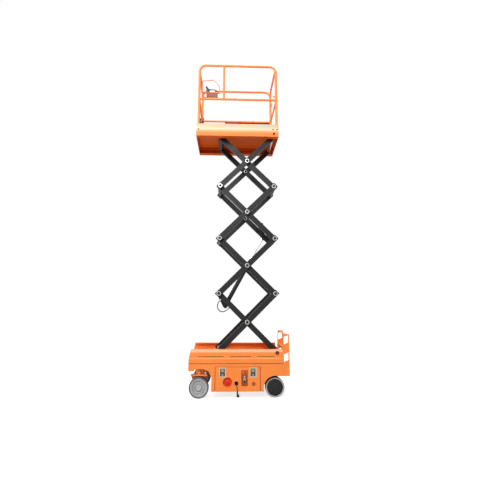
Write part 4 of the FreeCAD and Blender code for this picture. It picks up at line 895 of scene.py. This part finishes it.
def latch(piece, x, low, high, sign):
    """A flush paddle latch: frame with a sunk pan, ribbed paddle, lock and corner screws."""
    rim = across(sign, DOOR_FACE - 0.003, DOOR_FACE)
    piece.add(pressed((x - LATCH_HALF, rim[0], low), (x + LATCH_HALF, rim[1], high), sign, 0.010, 0.0024),
              STAINLESS)

    def part(reach, bottom, top, near, far, rounding, material, at=0):
        y = across(sign, DOOR_FACE - near, DOOR_FACE - far)
        piece.add(block((x + at - reach, y[0], bottom), (x + at + reach, y[1], top), rounding, 3), material)

    part(0.030, low + 0.014, high - 0.014, 0.0025, 0.0021, 0.0002, DARK_STEEL)
    part(0.023, low + 0.050, high - 0.020, 0.0022, 0.0006, 0.0007, SATIN)
    part(0.0055, low + 0.068, high - 0.024, 0.0010, 0.0001, 0.0003, STAINLESS)
    for at in (-0.010, 0.010):
        part(0.0055, low + 0.0525, low + 0.066, 0.0010, 0.0005, 0.0002, PLASTIC, at)
    part(0.019, low + 0.043, low + 0.049, 0.0022, 0.0010, 0.0004, PLASTIC)
    part(0.015, low + 0.020, low + 0.041, 0.0022, 0.0008, 0.0005, SATIN)
    lock = (x, 0, low + 0.0305)
    lock_y = across(sign, DOOR_FACE - 0.0012, DOOR_FACE - 0.0001)
    piece.add(ring(0.0045, 0.0085, *lock_y, "y", lock, 0.0003, 32), STEEL)
    lock_y = across(sign, DOOR_FACE - 0.0012, DOOR_FACE - 0.0006)
    piece.add(disc(0.0044, *lock_y, "y", lock, 0.0002, 24), PLASTIC)
    # The screws stand out on the left, and are flush on the right, where the solids end at the face.
    screw_y = across(sign, DOOR_FACE - 0.0008, DOOR_FACE + 0.0004 * (sign < 0))
    for dx in (-1, 1):
        for z in (low + 0.006, high - 0.006):
            at = (x + dx * (LATCH_HALF - 0.006), 0, z)
            piece.add(disc(0.0024, *screw_y, "y", at, 0.0004, 20), STEEL)


def latches(side, sign):
    low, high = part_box("latches_" + side)
    piece = Piece("latches_%s_paddles" % side)
    for x in (low.x + LATCH_HALF, high.x - LATCH_HALF):
        latch(piece, x, low.z, high.z, sign)
    piece.finish("door_" + side, "stainless", "latches_" + side)


def key(piece, at, turn):
    """A flat key with a round bow that hangs from a point."""
    lay = Matrix.Translation(at) @ Matrix.Rotation(turn, 4, "Y")
    piece.add(ring(0.0022, 0.0080, -0.0008, 0.0008, "y", (0, 0, -0.0085), 0.0004, 32), STEEL, lay)
    piece.add(block((-0.0030, -0.0008, -0.036), (0.0016, 0.0008, -0.0155), 0.0004), STEEL, lay)
    for tooth in range(3):
        low = -0.034 + 0.006 * tooth
        piece.add(block((0.0010, -0.0007, low), (0.0034, 0.0007, low + 0.003), 0.0003), STEEL, lay)


def button_in_cup(piece):
    """The red button on its foot, and the rim and floor of its cup."""
    piece.add(disc(0.015, -CUP_FLOOR - 0.013, -CUP_FLOOR, "y", CUP), PLASTIC)
    piece.add(turned(RED_BUTTON, "y", CUP), RED)
    piece.add(ring(CUP_RADIUS + 0.0001, 0.0567, -0.3805, -0.374, "y", CUP, 0.001, 64), RED)
    piece.add(disc(CUP_RADIUS, -0.3545, -0.3542, "y", CUP, 0.0001, 64), DEEP_RED)


def tray(piece):
    """The tray's floor plate in a darker orange that is painted shade, with its screws, and from the top
    its stop button, key switch and rocker.
    """
    low, high = TRAY
    height = high - low
    y = -TRAY_FLOOR
    # The floor plate: darker orange, painted shade in the tray's recess.
    piece.add(block((TRAY_X - TRAY_HALF, y - 0.0010, low + 0.0005), (TRAY_X + TRAY_HALF, y, high - 0.0005),
                    0.0004), SHADE_ORANGE)
    for dx in (-0.032, 0.032):
        for z in (low + 0.008, high - 0.008):
            piece.add(disc(0.0034, y - 0.0026, y - 0.0008, "y", (TRAY_X + dx, 0, z), 0.0008, 24), STEEL)
    top = Vector((TRAY_X, 0, low + 0.84 * height))
    piece.add(disc(0.0245, y - 0.004, y - 0.0008, "y", top), YELLOW)
    piece.add(turned(STOP_BUTTON, "y", top), RED)
    key_switch(piece, Vector((TRAY_X, 0, low + 0.59 * height)), y)
    rocker(piece, low + 0.215 * height, low + 0.41 * height, y)


def key_switch(piece, at, y):
    """The switch with its slot, and two keys on a small ring."""
    piece.add(ring(0.0098, 0.0148, y - 0.007, y - 0.0008, "y", at), OLIVE)
    piece.add(disc(0.0096, y - 0.012, y - 0.001, "y", at), STEEL)
    piece.add(block((at.x - 0.0012, -0.3735, at.z - 0.005), (at.x + 0.0012, -0.3705, at.z + 0.005), 0.0004),
              PLASTIC)
    piece.add(ring(0.0060, 0.0072, -0.0006, 0.0006, "y", (0, 0, 0), 0.0005, 32), STEEL,
              Matrix.Translation((at.x + 0.001, -0.3742, at.z - 0.0110)))
    key(piece, Vector((at.x - 0.003, -0.3752, at.z - 0.0155)), 0.22)
    key(piece, Vector((at.x + 0.005, -0.3770, at.z - 0.0150)), -0.16)


def rocker(piece, bottom, top, y):
    """The rocker in its frame, tipped a little."""
    middle = (bottom + top) / 2
    piece.add(block((TRAY_X - 0.018, y - 0.004, bottom - 0.003), (TRAY_X + 0.018, y - 0.0008, top + 0.003),
                    0.0014, 3), OLIVE)
    tip = (Matrix.Translation((TRAY_X, y - 0.004, middle)) @ Matrix.Rotation(0.12, 4, "X")
           @ Matrix.Translation((-TRAY_X, 0.004 - y, -middle)))
    piece.add(block((TRAY_X - 0.012, y - 0.010, bottom + 0.002), (TRAY_X + 0.012, y - 0.002, top - 0.002),
                    0.002, 3), PLASTIC, tip)


def ground_controls():
    """The red button in its cup, the tray, the round lock, and two rivets over them."""
    piece = Piece("controls_on_the_door")
    button_in_cup(piece)
    tray(piece)
    piece.add(disc(0.0168, -0.3790, -0.372, "y", LOCK), DEEP_BROWN)
    piece.add(ring(0.0168, 0.0215, -0.3822, -0.3795, "y", LOCK, 0.001), DEEP_BROWN)
    piece.add(ring(0.0070, 0.0118, -0.3815, -0.3785, "y", LOCK, 0.0008), ORANGE)
    piece.add(disc(0.0069, -0.3800, -0.3785, "y", LOCK), PLASTIC)
    for x in RIVETS:
        piece.add(disc(0.0042, -0.3818, -0.3795, "y", (x, 0, RIVET_Z), 0.0014, 24), ORANGE)
    piece.finish("door_left", "red_plastic", "ground_controls")


# The scissor stack. Its pieces are made along +X from an arm's lower pivot, and then laid along the arm.

def outer_frame(stage):
    """Where an outer pair of arms lies: its lower pivot, with +X along the arms."""
    foot = Vector((LEFT_FOOT.x, 0, PIVOT.z + stage * RISE))
    return Matrix.Translation(foot) @ Matrix.Rotation(-LEAN, 4, "Y")


def inner_frame(stage):
    """Where an inner pair of arms lies: its lower pivot, with +X along the arms."""
    foot = Vector((PIVOT.x, 0, PIVOT.z + stage * RISE))
    return Matrix.Translation(foot) @ Matrix.Rotation(LEAN - math.pi, 4, "Y")


def pin_cap(piece, x, sign, lay):
    """A pin's cap: a bright ring round a sunk dark centre with its bolt."""
    at = (x, 0, 0)
    rim = across(sign, ARM_FACE, ARM_FACE + CAP)
    centre = across(sign, ARM_FACE, ARM_FACE + 0.0045)
    head = across(sign, ARM_FACE + 0.0042, ARM_FACE + CAP + BOLT)
    piece.add(ring(0.0175, CAP_RADIUS, *rim, "y", at, 0.0018, 48), STEEL, lay)
    piece.add(disc(0.0176, *centre, "y", at, 0.0006, 40), DARK_STEEL, lay)
    piece.add(hexagon(0.0112, *head, "y", at), DARK_STEEL, lay)


def washers(piece, x, lay):
    """Nylon washers between the two layers of arms."""
    for side, sign in SIDES:
        gap = across(sign, LAYER_GAP, LAYER_GAP + 0.0052)
        piece.add(ring(PIN_RADIUS + 0.0002, 0.0305, *gap, "y", (x, 0, 0), 0.0008, 40), NYLON, lay)


def pins(stage):
    """The cross shafts at the ends of a pair of outer arms, and the stub pins at their middle."""
    piece = Piece("pins_%d_steel" % (stage + 1))
    lay = outer_frame(stage)
    # A shaft's place along the arms, its reach to either side, and whether it has caps.
    shafts = []
    if stage > 0:
        shafts.append((0, ARM_FACE, True))
    if stage < STAGES - 1:
        shafts.append((ARM, ARM_FACE, True))
    else:
        shafts.append((ARM, ARM_FACE + SHAFT_END, False))
    for x, reach, capped in shafts:
        piece.add(disc(PIN_RADIUS, -reach, reach, "y", (x, 0, 0), 0.002), STEEL, lay)
        washers(piece, x, lay)
        if capped:
            for side, sign in SIDES:
                pin_cap(piece, x, sign, lay)
    middle = ARM / 2
    washers(piece, middle, lay)
    for side, sign in SIDES:
        stub = across(sign, ARM_INNER_FACE - 0.008, ARM_FACE)
        collar = across(sign, ARM_INNER_FACE - 0.008, ARM_INNER_FACE - 0.002)
        piece.add(disc(PIN_RADIUS, *stub, "y", (middle, 0, 0), 0.002), STEEL, lay)
        piece.add(disc(0.024, *collar, "y", (middle, 0, 0), 0.0015), STEEL, lay)
        pin_cap(piece, middle, sign, lay)
    piece.finish("arms_%d_outer" % (stage + 1), "bright_steel", "pins_%d" % (stage + 1))


def hose_fitting(end, along, lay):
    """A nut on the arm, and the crimped sleeve that the hose comes out of."""
    at = (ARM + along / 1000, HOSE_Y, 0)
    piece = Piece("hose_fitting_" + end)
    piece.add(hexagon(0.0118, 0.0315, 0.0415, "z", at), STEEL, lay)
    piece.add(turned(SLEEVE, "z", at, 32), STEEL, lay)
    return piece.finish("arms_1_inner", "bright_steel")


def hose_loop():
    """The hydraulic hose between its two fittings."""
    lay = inner_frame(0)
    hose_fitting("upper", HOSE_POINTS[0][0], lay)
    lower = hose_fitting("lower", HOSE_POINTS[-1][0], lay)
    points = [lay @ Vector((ARM + x / 1000, HOSE_Y, HOSE_START + z / 1000)) for x, z in HOSE_POINTS]
    hose = smooth_line("hose", points, HOSE_RADIUS, RUBBER)
    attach(hose, "arms_1_inner")
    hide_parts("hose_loop")


def cylinder():
    """The cylinder's gland nut with its lugs and wiper, and the nuts on its two hose ports."""
    foot = inner_frame(0) @ Vector((ARM - CYLINDER_FOOT[0], 0, CYLINDER_FOOT[1]))
    head = inner_frame(2) @ Vector((ROD_EYE[0], 0, ROD_EYE[1]))
    lay = Matrix.Translation(foot) @ Matrix.Rotation(-math.atan2(head.z - foot.z, head.x - foot.x), 4, "Y")
    piece = Piece("cylinder_fittings")
    piece.add(softened(turned(GLAND_NUT, "x", (0, 0, 0), 48), 0.0004), DARK_STEEL, lay)
    for index in range(4):
        turn = Matrix.Rotation(index * math.pi / 2 + math.pi / 4, 4, "X")
        piece.add(block((0.624, -0.004, 0.0325), (0.6375, 0.004, 0.0355), 0.001), DARK_STEEL, lay @ turn)
    piece.add(ring(0.0183, 0.0215, 0.6400, 0.6435, "x", (0, 0, 0), 0.001, 40), RUBBER, lay)
    for along in PORTS:
        piece.add(hexagon(0.0125, 0.0300, 0.0385, "z", (along, 0, 0)), STEEL, lay)
        piece.add(turned(PORT_NUT, "z", (along, 0, 0), 32), STEEL, lay)
    piece.finish("cylinder_barrel", "bright_steel")


# The platform.

def lozenges(piece, x_span, y_span, z, pitch, material):
    """Raised lozenges in two directions over a floor plate."""
    count_x = int((x_span[1] - x_span[0]) / pitch)
    count_y = int((y_span[1] - y_span[0]) / pitch)
    squash = Matrix.Diagonal((1, 0.30, 1, 1))
    shape = bmesh.new()
    for row in range(count_x):
        for column in range(count_y):
            at = Vector((x_span[0] + (row + 0.5) * (x_span[1] - x_span[0]) / count_x,
                         y_span[0] + (column + 0.5) * (y_span[1] - y_span[0]) / count_y, z))
            turn = Matrix.Rotation(math.pi / 4 * (1 if (row + column) % 2 else -1), 4, "Z")
            bmesh.ops.create_cone(shape, cap_ends=True, segments=8, radius1=0.0165, radius2=0.012,
                                  depth=0.002, matrix=Matrix.Translation(at) @ turn @ squash)
    piece.add(shape, material)


def post_feet(piece, sign):
    """The foot plates, bolts and welds of a side's two posts, and the welds of its middle rail."""
    y = sign * RAIL_Y
    plate = across(sign, *FOOT_PLATE_Y)
    top = POST_FOOT + FOOT_PLATE
    for x, inward in ((POST_FRONT, 1), (POST_REAR, -1)):
        piece.add(block((x - 0.026, plate[0], POST_FOOT - 0.0005), (x + 0.0225, plate[1], top), 0.0012),
                  ORANGE)
        weld(piece, (x, y, POST_FOOT + 0.0068), "z", TUBE)
        for reach in (-0.0205, 0.0195):
            bolt(piece, (x + reach, sign * FOOT_BOLT_Y, top), "z", 1, 0.0036, 0.0042)
        weld(piece, (x + inward * (TUBE + 0.0012), y, RAIL_MIDDLE), "x", TUBE - 0.001)


def pipe(piece):
    """The dark pipe that hangs under the right middle rail by its clips."""
    under = (0, RAIL_Y, PIPE_Z)
    rail = (0, RAIL_Y, RAIL_MIDDLE)
    piece.add(disc(0.0085, *PIPE, "x", under, 0.0015, 24), BLACK)
    for x in PIPE_CLIPS:
        piece.add(ring(0.0086, 0.0104, x - 0.006, x + 0.006, "x", under, 0.0006, 24), PLASTIC)
        piece.add(ring(0.0156, 0.0172, x - 0.004, x + 0.004, "x", rail, 0.0006, 32), PLASTIC)


def rail_clamp(piece):
    """The dark clamp round the right front post, with its block."""
    post = (POST_FRONT, RAIL_Y, 0)
    for low, high in CLAMP_RINGS:
        piece.add(ring(TUBE + 0.0002, CLAMP_RADIUS, low, high, "z", post, 0.002, 40), PLASTIC)
    piece.add(block((POST_FRONT - 0.042, RAIL_Y - 0.009, 3.918),
                    (POST_FRONT - 0.0225, RAIL_Y + 0.009, CLAMP_RINGS[1][1]), 0.003), PLASTIC)


def platform_fittings():
    """The chequered floor, the posts' feet, welds and bolts, and the pipe and clamp on the right side."""
    piece = Piece("platform_fittings")
    lozenges(piece, (POST_FRONT + 0.03, POST_REAR - 0.03), (-TREAD_PLATE_Y, TREAD_PLATE_Y),
             POST_FOOT + 0.0035, 0.036, PLATFORM_ORANGE)
    for side, sign in SIDES:
        post_feet(piece, sign)
    for z in (RAIL_MIDDLE + TUBE, RAIL_TOP - TUBE):
        weld(piece, (UPRIGHT, -RAIL_Y, z), "z", TUBE - 0.002)
    for z in (RAIL_MIDDLE, RAIL_UPPER):
        for side, sign in SIDES:
            weld(piece, (POST_FRONT, sign * FRONT_RAIL_END, z), "y", TUBE)
    for x, z in SIDE_BOLTS:
        bolt(piece, (x, -SIDE_FACE, z), "y", -1, 0.0065, 0.0060, DARK_STEEL)
    pipe(piece)
    rail_clamp(piece)
    piece.finish("platform", "orange_paint")


def gate_fittings():
    """The gate's latch: a collar on its free upright with a tongue and a pull knob, and two welds."""
    at = (POST_REAR, GATE_POST_Y, 0)
    pull = (POST_REAR, GATE_POST_Y, GATE_LATCH)
    piece = Piece("gate_latch")
    piece.add(ring(0.0142, 0.0205, *GATE_COLLAR, "z", at, 0.0015, 40), ORANGE)
    piece.add(block((POST_REAR - 0.006, TONGUE_END, GATE_LATCH - 0.008),
                    (POST_REAR + 0.006, GATE_POST_Y - 0.018, GATE_LATCH + 0.008), 0.0012), STEEL)
    piece.add(disc(0.0045, -0.030, -0.019, "x", pull, 0.001, 24), ORANGE)
    piece.add(turned(PULL_KNOB, "x", pull, 32), ORANGE)
    for sign in (-1, 1):
        weld(piece, (POST_REAR, sign * (abs(GATE_POST_Y) - 0.0155), RAIL_MIDDLE), "y", 0.012)
    piece.finish("gate", "orange_paint")


def box_panel(piece, lay):
    """The sloped panel's film, stop button, four small buttons and screws, made flat and then laid."""
    piece.add(block((0.006, -0.070, -0.0010), (0.150, 0.070, 0.0012), 0.0008), PANEL_GREY, lay)
    stop = (0.124, -0.040, 0)
    piece.add(disc(0.0205, 0.0008, 0.0035, "z", stop), YELLOW, lay)
    piece.add(turned(BOX_STOP, "z", stop, 40), RED, lay)
    for index, material in enumerate((OLIVE, YELLOW, NYLON, OLIVE)):
        at = (0.108 + 0.026 * (index % 2), 0.012 + 0.030 * (index // 2), 0)
        piece.add(ring(0.0072, 0.0095, 0.0008, 0.0045, "z", at, 0.0008, 32), STEEL, lay)
        piece.add(disc(0.0070, 0.0008, 0.0065, "z", at, 0.0012, 32), material, lay)
    for x in (0.012, 0.144):
        for y in (-0.064, 0.064):
            piece.add(disc(0.0030, 0.0008, 0.0026, "z", (x, y, 0), 0.0008, 20), STEEL, lay)


def control_box():
    """The wedge-shaped control box with its side cheeks, their pale plates and screws, and its panel."""
    low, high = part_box("control_box")
    z = low.z
    edge = high.x
    crest = z + 0.066
    outline = ((low.x, z), (edge, z), (edge, z + 0.032), (edge - 0.014, z + 0.044), (low.x, crest))
    screws = ((low.x + 0.012, 0.012), (low.x + 0.012, 0.052), (edge - 0.012, 0.010), (edge - 0.020, 0.032))
    piece = Piece("control_box_housing")
    piece.add(extruded(outline, 0.0035 - BOX_HALF, BOX_HALF - 0.0035, 0.0035, 3), GREY_PLASTIC)
    for side, sign in SIDES:
        plate = across(sign, BOX_HALF - 0.0005, BOX_HALF + 0.0012)
        head = across(sign, BOX_HALF - 0.0005, BOX_HALF + 0.0018)
        piece.add(extruded(outline, *across(sign, 0.0735, BOX_HALF), 0.0022, 3), PANEL_GREY)
        piece.add(block((low.x + 0.052, plate[0], z + 0.007), (edge - 0.040, plate[1], z + 0.036), 0.0007),
                  NYLON)
        for x, rise in screws:
            piece.add(disc(0.0036, *head, "y", (x, 0, z + rise), 0.0008, 20), STEEL)
    slope = math.atan2(0.022, edge - 0.014 - low.x)
    box_panel(piece, Matrix.Translation((low.x, 0, crest)) @ Matrix.Rotation(slope, 4, "Y"))
    piece.finish("platform", "grey_plastic", "control_box")


def joystick():
    """The joystick: bellows, shaft and a grip with a round head, leaning over the front of its box."""
    reach = (STICK_KNOB - STICK_FOOT).length
    lean = math.atan2(STICK_KNOB.x - STICK_FOOT.x, STICK_KNOB.z - STICK_FOOT.z)
    lay = Matrix.Translation(STICK_FOOT) @ Matrix.Rotation(lean, 4, "Y")
    folds = [(0, 0.004)]
    for index in range(8):
        rise = 0.005 + 0.0062 * index
        radius = 0.0210 - 0.0010 * index
        folds += [(radius - 0.0030, rise), (radius, rise + 0.0022), (radius - 0.0022, rise + 0.0046)]
    folds += [(0.0066, 0.0556), (0, 0.0556)]
    grip = ((0, 0.050), (0.0120, 0.050), (0.0130, 0.058), (0.0124, 0.066), (0.0128, 0.074), (0.0136, 0.082),
            (0.0140, 0.090), (0.0140, reach), (0.0125, reach + 0.0070), (0.0080, reach + 0.0115),
            (0, reach + 0.0138))
    piece = Piece("joystick_grip")
    piece.add(disc(0.0218, 4.2675, 4.2800, "z", (STICK_FOOT.x, 0, 0), 0.002, 48), PLASTIC)
    piece.add(turned(folds, "z", (0, 0, 0), 40), RUBBER, lay)
    piece.add(turned(grip, "z", (0, 0, 0), 40), PLASTIC, lay)
    piece.add(disc(0.0052, reach + 0.0118, reach + 0.0150, "z", (0, 0, 0), 0.001, 24), GREY_PLASTIC, lay)
    piece.finish("platform", "black_plastic", "joystick")


# The chassis.

def wall_fittings(piece, sign):
    """A wall's pivot pin with its rim and washer, its slots' floors, and the joints beside its door; all
    but the washer are a darker orange, painted shade.
    """
    at = (PIVOT.x, 0, PIVOT.z)
    # The pin's end and head, and below its rim, in darker orange: painted shade round the pin's hole.
    piece.add(disc(0.0176, *across(sign, *PIVOT_END), "y", at, 0.0008, 40), SHADE_ORANGE)
    piece.add(hexagon(0.0112, *across(sign, *PIVOT_HEAD), "y", at), SHADE_ORANGE)
    # Strips of painted shade on the slots' floors.
    slack = 0.0006
    near, far = across(sign, *SLOT_FLOOR)
    for start, end in WALL_SLOTS:
        piece.add(block((start + slack, near, SLOT_Z[0] + slack), (end - slack, far, SLOT_Z[1] - slack),
                        0.0003), SHADE_ORANGE)
    # Strips of painted shade in the gaps beside the door.
    near, far = across(sign, *DOOR_JOINT_FLOOR)
    for start, end in DOOR_JOINTS:
        piece.add(block((start, near, DOOR_JOINT_Z[0]), (end, far, DOOR_JOINT_Z[1]), 0.0006), SHADE_ORANGE)
    piece.add(ring(0.0236, 0.0262, *across(sign, *PIVOT_RIM), "y", at, 0.0006, 48), SHADE_ORANGE)
    washer = across(sign, LAYER_GAP, LAYER_GAP + 0.0072)
    piece.add(ring(PIN_RADIUS + 0.0002, 0.0262, *washer, "y", at, 0.0008, 40), NYLON)


def ladder_fittings(piece):
    """The raised rings on the ladder's treads, and the bolts that hold its side plates."""
    low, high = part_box("ladder")
    for top in TREADS:
        for column in range(2):
            for row in range(13):
                at = (high.x - 0.022 - 0.028 * column, TREAD_START + 0.0395 * row + 0.018 * column, 0)
                if at[1] < TREAD_END:
                    piece.add(ring(0.0030, 0.0072, top - 0.0006, top + 0.0014, "z", at, 0.0009, 20),
                              SHEET_ORANGE)
    for y in (low.y + 0.008, high.y - 0.008):
        inward = 1 if y < 0 else -1
        for z in LADDER_BOLTS:
            bolt(piece, (LADDER_FACE, y + inward * 0.024, z), "x", 1, 0.0070, 0.0065)


def chassis_fittings():
    piece = Piece("chassis_fittings")
    for side, sign in SIDES:
        wall_fittings(piece, sign)
    ladder_fittings(piece)
    piece.finish("chassis", "orange_paint")


def battery(piece, start, low, high):
    """A battery from an x on: ribbed case, stepped lid, filler caps and terminals."""
    end = start + BATTERY_LENGTH
    foot = low.z + 0.012
    head = high.z - 0.046
    piece.add(block((start + 0.002, low.y + 0.002, low.z), (end - 0.002, high.y - 0.002, high.z - 0.034),
                    0.005, 3), BATTERY)
    piece.add(block((start, low.y, high.z - 0.036), (end, high.y, high.z - 0.014), 0.004, 3), PLASTIC)
    for index in range(7):
        y = low.y + 0.022 + 0.036 * index
        for x in (start, end - 0.004):
            piece.add(block((x, y - 0.004, foot), (x + 0.004, y + 0.004, head), 0.001), BATTERY)
    for index in range(5):
        x = start + 0.022 + 0.034 * index
        piece.add(block((x - 0.004, high.y - 0.004, foot), (x + 0.004, high.y, head), 0.001), BATTERY)
    for row in range(2):
        for column in range(3):
            x = start + 0.055 + 0.070 * row
            y = low.y + 0.070 + 0.060 * column
            piece.add(disc(0.0150, high.z - 0.016, high.z - 0.005, "z", (x, y, 0), 0.002, 32), YELLOW)
            piece.add(block((x - 0.011, y - 0.002, high.z - 0.006), (x + 0.011, y + 0.002, high.z - 0.002),
                            0.0008), YELLOW)
    for x in (start + 0.024, end - 0.024):
        at = (x, low.y + 0.026, 0)
        piece.add(disc(0.0130, high.z - 0.016, high.z - 0.010, "z", at, 0.0012, 32), STEEL)
        piece.add(disc(0.0065, high.z - 0.011, high.z - 0.001, "z", at, 0.0012, 24), BRASS)


def batteries():
    low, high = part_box("batteries")
    piece = Piece("battery_cases")
    for start in (low.x, high.x - BATTERY_LENGTH):
        battery(piece, start, low, high)
    piece.finish("chassis", "battery_case", "batteries")


def tank(piece, low, high):
    """The oil tank with its ribs, filler and sight glass."""
    piece.add(block((low.x, low.y, low.z), (low.x + TANK_LENGTH, high.y, high.z - 0.022), 0.012, 4),
              GREY_PLASTIC)
    for index in range(5):
        x = low.x + 0.030 + 0.045 * index
        piece.add(block((x - 0.006, low.y, low.z + 0.030), (x + 0.006, low.y + 0.003, high.z - 0.050),
                        0.0012), GREY_PLASTIC)
    filler = (low.x + 0.060, low.y + 0.060, 0)
    glass = (low.x + 0.180, high.y - 0.060, 0)
    piece.add(disc(0.028, high.z - 0.024, high.z - 0.014, "z", filler, 0.002, 40), PLASTIC)
    piece.add(hexagon(0.020, high.z - 0.015, high.z - 0.001, "z", filler, 0.002), PLASTIC)
    piece.add(disc(0.012, high.z - 0.024, high.z - 0.006, "z", glass, 0.002, 32), BRASS)


def pump(piece, low, high):
    """The cased pump with the ribs and slots of its case, and its two outlets."""
    start = high.x - PUMP_LENGTH
    piece.add(block((start, low.y, low.z), (high.x, high.y, high.z - 0.060), 0.006, 3), BLACK)
    piece.add(block((start + 0.010, low.y + 0.010, high.z - 0.062),
                    (high.x - 0.010, high.y - 0.010, high.z - 0.012), 0.008, 3), BLACK)
    for index in range(8):
        x = start + 0.040 + 0.022 * index
        piece.add(block((x - 0.004, low.y + 0.040, high.z - 0.013),
                        (x + 0.004, high.y - 0.040, high.z - 0.008), 0.0012), DARK_STEEL)
    for index in range(6):
        z = low.z + 0.030 + 0.022 * index
        piece.add(block((start + 0.030, low.y - 0.0002, z), (high.x - 0.100, low.y + 0.003, z + 0.008),
                        0.001), DARK_STEEL)
    for x in (high.x - 0.070, high.x - 0.034):
        piece.add(hexagon(0.013, low.y + 0.0002, low.y + 0.014, "y", (x, 0, low.z + 0.090)), STEEL)


def pump_and_tank():
    low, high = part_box("pump_and_tank")
    piece = Piece("pump_unit")
    tank(piece, low, high)
    pump(piece, low, high)
    piece.finish("chassis", "black_paint", "pump_and_tank")


camera()
charging_lead()
hose_loop()
stage()
world()
lamps()
dress_nodes()
cable_gland()
for side, sign in SIDES:
    for end in ("front", "rear"):
        wheel(end, side, sign)
    latches(side, sign)
    steering(side, sign)
ground_controls()
cylinder()
for number in range(STAGES):
    pins(number)
platform_fittings()
gate_fittings()
control_box()
joystick()
chassis_fittings()
batteries()
pump_and_tank()
